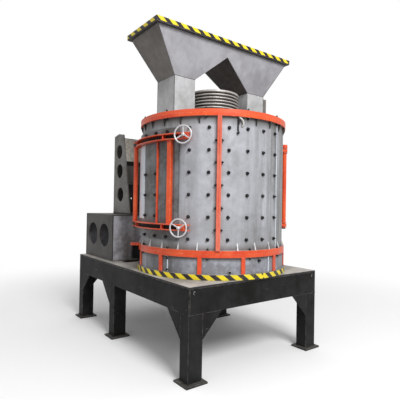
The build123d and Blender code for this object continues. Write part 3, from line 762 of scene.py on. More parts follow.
# Pale copy of the stand's grey, a painted highlight on the lit ends of the box.
LIT_STAND_GREY = Finish("motor_box_end_painted_light", "grey_paint", (184, 186, 193), (138, 137, 140),
                    bare=(206, 206, 206), dirt=(82, 75, 70), blotch_scale=3.4, blotches=0.75, edge=0.005,
                    streaks=0.55, roughness=0.44, grain_scale=34.0, grain_depth=0.003)
PANEL = Finish("front_panel_paint", "grey_paint", (228, 225, 214), (174, 170, 158), bare=(206, 206, 200),
               dirt=(88, 80, 70), blotch_scale=5.0, blotches=0.75, edge=0.005, streaks=0.6,
               roughness=0.48, grain_scale=34.0, grain_depth=0.003)
TAPE = TapeFinish("warning_tape", "tape", (250, 228, 44), (232, 208, 40), bare=(236, 230, 200),
                  dirt=(96, 84, 40), dust_tone=(220, 210, 160), blotch_scale=9.0, wear=0.4, edge=0.001,
                  streaks=0.1, dust=0.12, scratches=0.5, roughness=0.36, grain_scale=140.0,
                  grain_depth=0.0005)
PULLEY = TurnedFinish("pulley_iron", "pulley_iron", (196, 191, 186), (166, 159, 154),
                      bare=(224, 220, 214), dirt=(44, 38, 36), blotch_scale=4.0, wear=0.9, edge=0.003,
                      crevices=0.9, streaks=0.1, dust=0.2, roughness=0.45, metallic=0.25,
                      grain_depth=0.0003, groove=(30, 27, 26), groove_span=(0.262, 0.306))
MACHINED = TurnedFinish("machined_steel", "machined_steel", (176, 176, 178), (150, 150, 152),
                        bare=(214, 214, 214), dirt=(60, 54, 48), wear=0.4, edge=0.002, crevices=0.6,
                        dust=0.15, roughness=0.3, metallic=0.9, grain_depth=0.0002)
# Dark steel of the hinge pins, also laid on the front lugs as painted shade where the same lugs at the rear
# are red; its pale worn edges are partly painted highlights on the knuckles.
HINGE_STEEL_AND_SHADE = Finish("hinge_steel_and_shade", "black_steel", (40, 37, 38), (70, 65, 62), bare=(206, 200, 192),
               dirt=(40, 34, 30), blotch_scale=14.0, blotches=0.8, wear=1.0, edge=0.006, streaks=0.2,
               dust=0.45, roughness=0.4, metallic=0.3)
WEAR_IRON = Finish("wear_iron", "wear_iron", (96, 88, 82), (122, 96, 76), bare=(176, 172, 168),
                   dirt=(52, 40, 32), blotch_scale=7.0, blotches=0.8, wear=0.9, edge=0.01, streaks=0.6,
                   dust=0.5, roughness=0.66, metallic=0.35, grain_scale=90.0, grain_depth=0.003)
CHROME = Finish("wheel_chrome", "wheel_chrome", (220, 220, 222), (198, 198, 202), bare=(236, 236, 236),
                dirt=(96, 94, 92), wear=0.2, edge=0.001, crevices=0.35, streaks=0.05, dust=0.08,
                roughness=0.4, metallic=0.3, grain_depth=0.0003)
BOLT = Finish("dark_bolt", "machined_steel", (24, 23, 26), (15, 14, 16), bare=(150, 148, 146),
              dirt=(34, 28, 24), blotch_scale=30.0, edge=0.002, dust=0.12, roughness=0.42, metallic=0.2,
              shine=0.3, grain_depth=0.0004)
WASHER = Finish("bright_washer", "machined_steel", (188, 187, 184), (158, 156, 152), bare=(222, 222, 222),
                dirt=(84, 76, 68), blotch_scale=24.0, wear=0.5, edge=0.001, crevices=0.4, dust=0.2,
                roughness=0.34, metallic=0.8, grain_depth=0.0003)
WELD = Finish("weld_bead_paint", "hopper_paint", (104, 101, 99), (78, 74, 72), dirt=(56, 50, 45),
              blotch_scale=20.0, wear=0.3, edge=0.001, dust=0.15, grain_scale=200.0)
PIPE = Finish("grease_pipe_paint", "grey_paint", (232, 232, 228), (212, 212, 206), bare=(180, 176, 170),
              dirt=(96, 90, 82), wear=0.4, edge=0.001, dust=0.2, roughness=0.35, grain_depth=0.0003)


# Hand tools


def put_down() -> None:
    """Leave edit mode and deselect everything."""
    if bpy.context.object is not None and bpy.context.object.mode != "OBJECT":
        bpy.ops.object.mode_set(mode="OBJECT")
    bpy.ops.object.select_all(action="DESELECT")


def take(*pieces: Piece) -> None:
    """Select only the given pieces.

    Args:
        pieces: The pieces. The first becomes the active one.
    """
    put_down()
    for piece in pieces:
        piece.select_set(True)
    bpy.context.view_layer.objects.active = pieces[0]


@contextmanager
def shaping(piece: Piece, kind: str = "FACE") -> Iterator[bmesh.types.BMesh]:
    """Open a piece in edit mode with nothing selected.

    Args:
        piece: The piece.
        kind: "VERT", "EDGE" or "FACE".

    Yields:
        The mesh being edited.
    """
    take(piece)
    bpy.ops.object.mode_set(mode="EDIT")
    bpy.ops.mesh.select_mode(type=kind)
    bpy.ops.mesh.select_all(action="DESELECT")
    yield bmesh.from_edit_mesh(piece.data)
    bpy.ops.object.mode_set(mode="OBJECT")


def pick_faces(piece: Piece, wanted: Callable[[bmesh.types.BMFace], bool]) -> None:
    """Select some faces of a piece in edit mode.

    Args:
        piece: The piece.
        wanted: The test that a face has to pass.
    """
    mesh = bmesh.from_edit_mesh(piece.data)
    for face in mesh.faces:
        face.select_set(wanted(face))
    bmesh.update_edit_mesh(piece.data)


def modify(piece: Piece, kind: str, **settings: object) -> None:
    """Add a modifier and apply it.

    Args:
        piece: The piece.
        kind: The modifier's type.
        settings: Its settings by name.
    """
    take(piece)
    modifier = piece.modifiers.new(kind.lower(), kind)
    for name, value in settings.items():
        setattr(modifier, name, value)
    bpy.ops.object.modifier_apply(modifier=modifier.name)


def settle(piece: Piece) -> Piece:
    """Move a piece's place into its mesh, so that its object sits at the origin.

    Args:
        piece: The piece.

    Returns:
        The piece.
    """
    take(piece)
    bpy.ops.object.transform_apply(location=True, rotation=True, scale=True)
    return piece


def placed(piece: Piece, place: Matrix) -> Piece:
    """Put a piece modelled at the origin in its place."""
    piece.matrix_world = place
    return settle(piece)


def smooth(piece: Piece, angle: float = 35.0) -> Piece:
    """Shade a piece smooth.

    Args:
        piece: The piece.
        angle: Sharper edges than this stay sharp, in degrees.

    Returns:
        The piece.
    """
    take(piece)
    bpy.ops.object.shade_smooth_by_angle(angle=math.radians(angle))
    return piece


def slab(low: Spot, high: Spot, chamfer: float) -> Piece:
    """Make a plate or bar with softened edges.

    Args:
        low: Its lowest corner.
        high: Its highest corner.
        chamfer: Width of the softened edges.

    Returns:
        The piece.
    """
    put_down()
    bpy.ops.mesh.primitive_cube_add(size=1.0, location=[(a + b) / 2 for a, b in zip(low, high)])
    piece = bpy.context.object
    piece.scale = [b - a for a, b in zip(low, high)]
    settle(piece)
    modify(piece, "BEVEL", width=chamfer, segments=2)
    return piece


def wire(spots: Sequence[Spot]) -> Piece:
    """Draw a line of edges, by pulling one corner along it.

    Args:
        spots: The line's corners, in order.

    Returns:
        The line as a mesh.
    """
    put_down()
    bpy.ops.mesh.primitive_plane_add(size=0.001, location=ORIGIN)
    piece = bpy.context.object
    with shaping(piece, "VERT"):
        bpy.ops.mesh.select_all(action="SELECT")
        bpy.ops.mesh.merge(type="CENTER")
        bpy.ops.transform.translate(value=spots[0])
        for start, end in zip(spots, spots[1:]):
            step = [b - a for a, b in zip(start, end)]
            bpy.ops.mesh.extrude_region_move(TRANSFORM_OT_translate={"value": step})
    return piece


def turned(profile: Profile, steps: int) -> Piece:
    """Turn a profile about the Z axis at the origin.

    Args:
        profile: Radius and height of each corner, in order.
        steps: Number of steps round.

    Returns:
        The piece, with its faces pointing outwards.
    """
    piece = wire([(radius, 0.0, height) for radius, height in profile])
    with shaping(piece, "VERT"):
        bpy.ops.mesh.select_all(action="SELECT")
        bpy.ops.mesh.spin(steps=steps, angle=math.tau, center=ORIGIN, axis=(0, 0, 1))
        bpy.ops.mesh.select_all(action="SELECT")
        bpy.ops.mesh.remove_doubles(threshold=1e-5)
        bpy.ops.mesh.normals_make_consistent(inside=False)
    return piece


def rod(path: Sequence[Spot], radius: float, looped: bool = False, sides: int = 2) -> Piece:
    """Make a round rod or weld bead along a path.

    Args:
        path: Its corners.
        radius: Its radius.
        looped: Whether it closes on itself.
        sides: Smoothness of its round section.

    Returns:
        The piece as a mesh.
    """
    put_down()
    curve = bpy.data.curves.new("rod", "CURVE")
    curve.dimensions = "3D"
    line = curve.splines.new("POLY")
    line.points.add(len(path) - 1)
    for point, spot in zip(line.points, path):
        point.co = (*spot, 1.0)
    line.use_cyclic_u = looped
    curve.bevel_depth = radius
    curve.bevel_resolution = sides
    curve.use_fill_caps = not looped
    piece = bpy.data.objects.new("rod", curve)
    bpy.context.scene.collection.objects.link(piece)
    take(piece)
    bpy.ops.object.convert(target="MESH")
    return bpy.context.object


def bead_round(xs: Pair, ys: Pair, z: float, radius: float) -> Piece:
    """Make a weld bead round a level rectangle.

    Args:
        xs: The rectangle's ends along X.
        ys: Its ends along Y.
        z: Its height.
        radius: The bead's radius.

    Returns:
        The bead.
    """
    corners = ((xs[0], ys[0]), (xs[1], ys[0]), (xs[1], ys[1]), (xs[0], ys[1]))
    return rod([(x, y, z) for x, y in corners], radius, looped=True)


def joined(pieces: Sequence[Piece]) -> Piece:
    """Join pieces.

    Args:
        pieces: The pieces. The others go into the first one.

    Returns:
        The joined piece.
    """
    if len(pieces) > 1:
        take(*pieces)
        bpy.ops.object.join()
    return settle(pieces[0])


def copied(pattern: Piece, places: Sequence[Matrix]) -> Piece:
    """Copy a piece to several places and join the copies.

    Args:
        pattern: The piece, modelled at the origin. It is used up.
        places: Where each copy goes.

    Returns:
        One piece with all the copies.
    """
    copies = []
    for place in places:
        copy = pattern.copy()
        copy.data = pattern.data.copy()
        bpy.context.scene.collection.objects.link(copy)
        copies.append(placed(copy, place))
    bpy.data.objects.remove(pattern)
    return joined(copies)


def finished(piece: Piece, name: str, body: Body, finish: Finish) -> Piece:
    """Name a piece, give it its finish and tie it to the part.

    Args:
        piece: The piece.
        name: Its name.
        body: The body it moves with.
        finish: Its finish, unless its faces already have some.

    Returns:
        The piece.
    """
    settle(piece)
    piece.name = piece.data.name = name
    if not piece.data.materials:
        piece.data.materials.append(finish.material())
    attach(piece, body.value)
    log.info("%s: %d faces", name, len(piece.data.polygons))
    return piece


def dressed(frame: dict, finish: Finish, *names: str) -> None:
    """Give CAD nodes a finish.

    Args:
        frame: The loaded frame.
        finish: The finish.
        names: The nodes.
    """
    for name in names:
        node = frame["nodes"][name]
        node.data.materials.clear()
        node.data.materials.append(finish.material())


def turned_out(angle: float) -> Matrix:
    """Place for a piece whose +X points out from the drum's axis at an angle."""
    return Matrix.Translation((AXIS_X, 0, 0)) @ Matrix.Rotation(math.radians(angle), 4, "Z")


def standing_out(angle: float, radius: float, z: float) -> Matrix:
    """Place for a piece whose +Z points out from the drum."""
    spot = Matrix.Translation(around(radius, angle, z))
    return spot @ Matrix.Rotation(math.radians(angle), 4, "Z") @ Matrix.Rotation(math.pi / 2, 4, "Y")


def standing_up(angle: float, radius: float, z: float) -> Matrix:
    """Place for a piece whose +Z points up, round the drum's axis."""
    return Matrix.Translation(around(radius, angle, z))


def hanging(angle: float, radius: float, z: float) -> Matrix:
    """Place for a piece whose +Z points down, round the drum's axis."""
    return standing_up(angle, radius, z) @ Matrix.Rotation(math.pi, 4, "X")


def upright(angle: float, radii: Pair, heights: Pair, half: float = 0.006) -> Piece:
    """Make a narrow upright bar that stands out from the drum at an angle.

    Args:
        angle: Its angle round the drum's axis.
        radii: Its inner and outer radius.
        heights: Its lower and upper end.
        half: Half of its width.

    Returns:
        The bar.
    """
    bar = slab((radii[0], -half, heights[0]), (radii[1], half, heights[1]), half / 4)
    return placed(bar, turned_out(angle))


@dataclass
class Fastener:
    """A hexagon head or nut on its washer, with the bolt's end standing out."""

    across: float = 0.030
    head: float = 0.015
    washer: float = 0.040
    washer_height: float = 0.004
    end: float = 0.009
    end_radius: float = 0.009
    seat: Finish = WASHER

    def disc(self, corners: int, radius: float, depth: float, foot: float) -> Piece:
        """Make a prism or cylinder without its hidden underside.

        Args:
            corners: Number of corners round.
            radius: Its radius.
            depth: Its height.
            foot: Height of its foot.

        Returns:
            The piece.
        """
        put_down()
        bpy.ops.mesh.primitive_cylinder_add(vertices=corners, radius=radius, depth=depth,
                                            location=(0, 0, foot + depth / 2))
        piece = settle(bpy.context.object)
        with shaping(piece):
            pick_faces(piece, lambda face: face.normal.z < -0.9)
            bpy.ops.mesh.delete(type="FACE")
        return piece

    def pattern(self) -> Piece:
        """Model one fastener at the origin, seated on z = 0 and pointing up.

        Returns:
            The fastener.
        """
        washer = self.disc(14, self.washer / 2, self.washer_height, -0.0005)
        washer.data.materials.append(self.seat.material())
        nut = self.disc(6, self.across / math.sqrt(3), self.head, self.washer_height - 0.0006)
        with shaping(nut):
            pick_faces(nut, lambda face: face.normal.z > 0.9)
            bpy.ops.mesh.inset(thickness=self.across * 0.1)
            bpy.ops.transform.translate(value=(0, 0, self.head * 0.14))
            if self.end > 0:
                top = (0, 0, self.washer_height + self.head)
                bpy.ops.mesh.inset(thickness=self.across * 0.36 - self.end_radius * 0.62)
                bpy.ops.mesh.extrude_region_move(TRANSFORM_OT_translate={"value": (0, 0, self.end)})
                bpy.ops.transform.resize(value=(0.92, 0.92, 1), center_override=top)
        nut.data.materials.append(BOLT.material())
        return joined([washer, nut])

    def fitted(self, places: Sequence[Matrix], name: str, finish: Finish = BOLT,
               body: Body = Body.BASE) -> Piece:
        """Fit one fastener in each place, as one piece."""
        return finished(copied(self.pattern(), places), name, body, finish)


SHELL_BOLT = Fastener(across=0.028, head=0.014, washer=0.038, end_radius=0.008, seat=BOLT)


# Sub-assemblies


@dataclass
class Stand:
    """Black steel stand with its deck plate."""

    half_length: float = 1.400
    half_width: float = 0.9225
    deck_top: float = 0.910
    beam_low: float = 0.650
    leg_x: float = 0.136
    leg_y: float = 0.163
    leg_places: tuple[float, ...] = (1.332, -0.265, -1.332)
    foot_top: float = 0.018
    deck_plate: float = 0.020
    bead: float = 0.004
    foot_bead: float = 0.0052
    deck_bead: float = 0.003
    earth_y: float = 0.862
    earth_z: float = 0.852

    def welds(self) -> None:
        """Make the beads at the top and foot of every leg."""
        reach_x, reach_y = self.leg_x / 2 + HAIR, self.leg_y / 2 + HAIR
        beads = []
        for x in self.leg_places:
            for side in (-1, 1):
                y = side * (self.half_width - self.leg_y / 2)
                xs, ys = (x - reach_x, x + reach_x), (y - reach_y, y + reach_y)
                beads.append(bead_round(xs, ys, self.beam_low - 2 * HAIR, self.bead))
                beads.append(bead_round(xs, ys, self.foot_top + HAIR, self.foot_bead))
        finished(joined(beads), "stand_welds", Body.BASE, BLACK)

    def end_bolts(self) -> None:
        """Make the earthing bolt near the corner of each end beam."""
        places = []
        for end in (1, -1):
            for y in (-self.earth_y, self.earth_y):
                spot = Matrix.Translation((end * self.half_length, y, self.earth_z))
                places.append(spot @ Matrix.Rotation(end * math.pi / 2, 4, "Y"))
        bolt = Fastener(across=0.020, head=0.010, washer=0.030, end=0.008, end_radius=0.005)
        bolt.fitted(places, "end_beam_bolts")

    def deck_weld(self) -> None:
        """Make the weld between the deck plate and the beams below it."""
        x, y = self.half_length - HAIR, self.half_width - HAIR
        bead = bead_round((-x, x), (-y, y), self.deck_top - self.deck_plate, self.deck_bead)
        finished(bead, "deck_welds", Body.BASE, BLACK)

    def build(self, frame: dict) -> None:
        """Dress the stand's nodes and add its welds and bolts.

        Args:
            frame: The loaded frame.
        """
        dressed(frame, BLACK, "side_beams", "end_beams", "cross_beams", "legs", "side_haunches",
                "end_haunches")
        dressed(frame, FOOT, "foot_plates")
        dressed(frame, DECK, "deck_plate")
        self.welds()
        self.end_bolts()
        self.deck_weld()


@dataclass
class Tape:
    """Warning tape stuck on an upright face, with its own UV map in metres."""

    thickness: float = 0.0012
    lift: float = 0.0013

    def stick(self, path: Sequence[Pair], low: float, high: float, name: str) -> None:
        """Lay tape along a closed path.

        Args:
            path: Corners of the path in the plane, counterclockwise from above.
            low: Height of the tape's lower edge.
            high: Height of its upper edge.
            name: The piece's name.
        """
        piece = wire([(x, y, low) for x, y in (*path, path[0])])
        with shaping(piece, "EDGE"):
            bpy.ops.mesh.select_all(action="SELECT")
            bpy.ops.mesh.extrude_region_move(TRANSFORM_OT_translate={"value": (0, 0, high - low)})
        self.measure(piece, path)
        modify(piece, "SOLIDIFY", thickness=self.thickness, offset=-1.0)
        finished(piece, name, Body.BASE, TAPE)

    def measure(self, piece: Piece, path: Sequence[Pair]) -> None:
        """Write each corner's distance along the tape and its height to the UV map.

        Args:
            piece: The tape as an open band.
            path: Corners of its path.
        """
        run, middles = [0.0], []
        for start, end in zip(path, (*path[1:], path[0])):
            run.append(run[-1] + math.dist(start, end))
            middles.append([(a + b) / 2 for a, b in zip(start, end)])
        layer = piece.data.uv_layers.new(name="tape")
        for face in piece.data.polygons:
            part = min(range(len(path)), key=lambda n: math.dist(middles[n], face.center[:2]))
            for loop in face.loop_indices:
                spot = piece.data.vertices[piece.data.loops[loop].vertex_index].co
                layer.data[loop].uv = (run[part] + math.dist(path[part], spot[:2]), spot.z)


@dataclass
class Drum:
    """Base and drum with their rings of fasteners. Angles are in degrees round the axis."""

    radius: float = 0.850
    base_radius: float = 0.862
    ring_radius: float = 0.885
    deck_top: float = 0.910
    ring_top: float = 0.965
    lower_flange: float = 1.135
    shell_foot: float = 1.206
    upper_flange: float = 2.578
    lid_top: float = 2.649
    split_angle: float = -34.0
    gussets: int = 26
    bolted_span: Pair = (-60.0, 18.0)
    bolt_rows: tuple[float, ...] = (2.461, 2.231, 2.002, 1.773, 1.545, 1.316)
    split_rows: tuple[float, ...] = (2.327, 2.104, 1.871, 1.637, 1.414)
    split_out: float = 0.020
    split_reach: float = 0.0218
    foot_lead: float = -40.7
    top_lead: float = -43.3
    flange_bolt_radius: float = 0.8645
    flange_nut_radius: float = 0.8700
    lid_bolt_radius: float = 0.858
    bead: float = 0.0045
    shell_seams: Pair = (18.0, 198.0)
    base_seams: tuple[float, ...] = (7.0, -70.0, 187.0, 110.0)
    seam_rise: float = 0.005
    seam_gap: float = 0.004
    stud_angles: Pair = (-70.0, 110.0)
    stud_rows: Pair = (0.990, 1.108)
    stud_out: float = 0.004
    plug_angles: Pair = (-25.6, 154.4)
    plug_row: float = 0.986
    gland_angle: float = -2.8
    gland_row: float = 1.097
    gland_profile: Profile = ((0, 0), (0.017, 0), (0.017, 0.006), (0.013, 0.008), (0.013, 0.022),
                              (0.011, 0.026), (0, 0.026))
    gland_dish: float = 0.003
    pipe_path: tuple[Spot, ...] = ((0.8660, -20.2, 2.566), (0.8700, -19.4, 2.562), (0.8720, -18.5, 2.552),
                                   (0.8725, -17.8, 2.536), (0.8720, -17.4, 2.516), (0.8690, -17.3, 2.500),
                                   (0.8580, -17.6, 2.488))
    pipe_radius: float = 0.0080
    union_angle: float = -17.7
    union_row: float = 2.486
    union_profile: Profile = ((0, 0), (0.013, 0), (0.013, 0.004), (0.010, 0.006), (0.010, 0.012),
                              (0.008, 0.014), (0, 0.014))
    rod_angle: float = -20.9
    rod_foot: float = 2.413
    rod_reach: float = 0.859
    rod_radius: float = 0.0065
    box_angle: float = -119.0
    box_low: Spot = (0.860, -0.047, 1.021)
    box_high: Spot = (0.948, -0.042, 1.175)
    bearing_radius: float = 0.190
    bearing_rise: float = 0.026

    def is_bolted(self, angle: float) -> bool:
        """Tell whether an angle falls on one of the two bolted parts of the shell."""
        turns = [(angle - lead + 180) % 360 - 180 for lead in (0, 180)]
        return any(self.bolted_span[0] < turn < self.bolted_span[1] for turn in turns)

    def liner_bolts(self) -> None:
        """Make the rows of liner bolts, midway between the stiffeners of the bolted parts."""
        step = 360 / self.gussets
        angles = [self.split_angle + (turn + 0.5) * step for turn in range(self.gussets)]
        places = [standing_out(angle, self.radius, z)
                  for angle in angles if self.is_bolted(angle) for z in self.bolt_rows]
        SHELL_BOLT.fitted(places, "liner_bolts")

    def split_bolts(self) -> None:
        """Make the bolts through the paired bars of both split lines."""
        places = []
        for angle in (self.split_angle, self.split_angle + 180):
            for side in (-1, 1):
                for z in self.split_rows:
                    spot = Matrix.Translation((self.radius + self.split_out, side * self.split_reach, z))
                    places.append(turned_out(angle) @ spot @ Matrix.Rotation(-side * math.pi / 2, 4, "X"))
        bolt = Fastener(across=0.024, head=0.013, washer=0.032, washer_height=0.003, end=0.010,
                        end_radius=0.007, seat=BOLT)
        bolt.fitted(places, "split_bar_bolts")

    def flange_bolts(self) -> None:
        """Make the bolts through both pairs of flanges, with their nuts below."""
        places = []
        for turn in range(0, 360, 30):
            low, high = self.foot_lead + turn, self.top_lead + turn
            places += (standing_up(low, self.flange_bolt_radius, self.shell_foot),
                       hanging(low, self.flange_nut_radius, self.lower_flange),
                       hanging(high, self.flange_bolt_radius, self.upper_flange),
                       standing_up(high, self.lid_bolt_radius, self.lid_top))
        bolt = Fastener(across=0.020, head=0.012, washer=0.024, washer_height=0.003, end=0.008,
                        end_radius=0.006)
        # The bright washer finish on these bolts paints the highlights on their nuts under the flanges.
        bolt.fitted(places, "flange_bolts", WASHER)

    def ring_welds(self) -> None:
        """Make the weld beads round the base and the drum."""
        beads = []
        for radius, z in ((self.base_radius, self.ring_top), (self.base_radius, self.lower_flange),
                          (self.radius, self.shell_foot), (self.radius, self.upper_flange)):
            put_down()
            bpy.ops.mesh.primitive_torus_add(major_segments=160, minor_segments=6, location=(AXIS_X, 0, z),
                                             major_radius=radius + HAIR, minor_radius=self.bead)
            beads.append(bpy.context.object)
        finished(joined(beads), "ring_welds", Body.BASE, GREY)

    def edge_strips(self) -> None:
        """Make the thin pale strips that cover the seams of the shell and the base."""
        strips = []
        for seams, radius, low, high in (
            (self.shell_seams, self.radius, self.shell_foot, self.upper_flange),
            (self.base_seams, self.base_radius, self.ring_top, self.lower_flange),
        ):
            for angle in seams:
                radii = (radius - 2 * HAIR, radius + self.seam_rise)
                strips.append(upright(angle, radii, (low + self.seam_gap, high - self.seam_gap)))
        finished(joined(strips), "seam_strips", Body.BASE, PALE)

    def base_studs(self) -> None:
        """Make the small bolts and the larger plugs on the base panels."""
        studs = Fastener(across=0.018, head=0.009, washer=0.026, washer_height=0.003, end=0.006,
                         end_radius=0.005)
        plugs = Fastener(across=0.026, head=0.008, washer=0.040, washer_height=0.010, end=0.0)
        stud_places = [standing_out(angle, self.base_radius + self.stud_out, z)
                       for angle in self.stud_angles for z in self.stud_rows]
        plug_places = [standing_out(angle, self.base_radius, self.plug_row) for angle in self.plug_angles]
        both = joined([copied(studs.pattern(), stud_places), copied(plugs.pattern(), plug_places)])
        finished(both, "base_studs", Body.BASE, BOLT)

    def gland(self) -> None:
        """Make the closed gland on the base panel by the door's far side."""
        body, top = turned(self.gland_profile, 20), self.gland_profile[-1][1]
        with shaping(body):
            pick_faces(body, lambda face: face.calc_center_median().z > top - HAIR / 2)
            bpy.ops.mesh.inset(thickness=self.gland_dish)
            bpy.ops.transform.translate(value=(0, 0, -self.gland_dish))
        place = standing_out(self.gland_angle, self.base_radius - HAIR, self.gland_row)
        finished(placed(smooth(body), place), "cable_gland", Body.BASE, BOLT)

    def grease_pipe(self) -> None:
        """Make the short white grease pipe that bends down from under the top flange."""
        pipe = rod([around(*spot) for spot in self.pipe_path], self.pipe_radius, sides=4)
        finished(smooth(pipe, 60), "grease_pipe", Body.BASE, PIPE)

    def pipe_fittings(self) -> None:
        """Make the unions at both ends of the grease pipe."""
        low = placed(turned(self.union_profile, 12),
                     standing_out(self.union_angle, self.radius - HAIR, self.union_row))
        high = placed(turned(self.union_profile, 12),
                      hanging(self.pipe_path[0][1], self.flange_bolt_radius, self.upper_flange))
        finished(joined([low, high]), "grease_pipe_unions", Body.BASE, WASHER)

    def flange_rod(self) -> None:
        """Make the dark rod that hangs from the top flange, held by a bolt at its foot."""
        path = [around(self.rod_reach, self.rod_angle, z) for z in (self.upper_flange, self.rod_foot)]
        shank = rod(path, self.rod_radius, sides=3)
        shank.data.materials.append(BOLT.material())
        bolt = Fastener(across=0.024, head=0.014, washer=0.030, washer_height=0.006, end=0.0).pattern()
        placed(bolt, standing_out(self.rod_angle, self.radius, self.rod_foot))
        finished(joined([shank, bolt]), "flange_rod", Body.BASE, BOLT)

    def box_side(self) -> None:
        """Make the far side of the open box under the ledge."""
        side = placed(slab(self.box_low, self.box_high, HAIR), turned_out(self.box_angle))
        finished(side, "ledge_box_side", Body.BASE, BLACK)

    def tape(self) -> None:
        """Make the warning tape round the base ring."""
        tape, steps = Tape(), 200
        path = [around(self.ring_radius + tape.lift, 360 * n / steps, 0)[:2] for n in range(steps)]
        tape.stick(path, self.deck_top + HAIR, self.ring_top - HAIR / 2, "base_ring_tape")

    def bearing_bolts(self) -> None:
        """Make the bolts that hold the lid bearing."""
        places = [standing_up(22.5 + turn * 45, self.bearing_radius, self.lid_top + self.bearing_rise)
                  for turn in range(8)]
        Fastener(across=0.024, washer=0.030).fitted(places, "bearing_bolts")

    def build(self, frame: dict) -> None:
        """Dress the drum's nodes and add its fasteners, tape and fittings.

        Args:
            frame: The loaded frame.
        """
        dressed(frame, GREY, "shell_half_front", "shell_half_rear")
        # The upper gussets carry painted shade.
        dressed(frame, SHADED_GUSSET, "upper_gussets")
        dressed(frame, BASE_GREY, "base_shell", "base_ring")
        # The lower gussets carry painted light.
        dressed(frame, LIT_GUSSET, "lower_gussets")
        dressed(frame, LID, "lid_plate")
        dressed(frame, RED, "base_ribs", "base_flange", "shell_foot_flange", "shell_top_flange",
                "flange_ledge", "hinge_lugs_rear", "hinge_cap_rear")
        # The split bars' pinker red is a painted sheen.
        dressed(frame, SHEEN_RED, "split_bars")
        # The front lugs' dark finish is painted shade.
        dressed(frame, HINGE_STEEL_AND_SHADE, "hinge_lugs_front", "hinge_pins")
        dressed(frame, BLACK, "ledge_box")
        dressed(frame, WEAR_IRON, "wear_liner", "lower_bearing")
        dressed(frame, MACHINED, "lid_bearing")
        for make in (self.liner_bolts, self.split_bolts, self.flange_bolts, self.ring_welds,
                     self.edge_strips, self.base_studs, self.gland, self.grease_pipe, self.pipe_fittings,
                     self.flange_rod, self.box_side, self.tape, self.bearing_bolts):
            make()


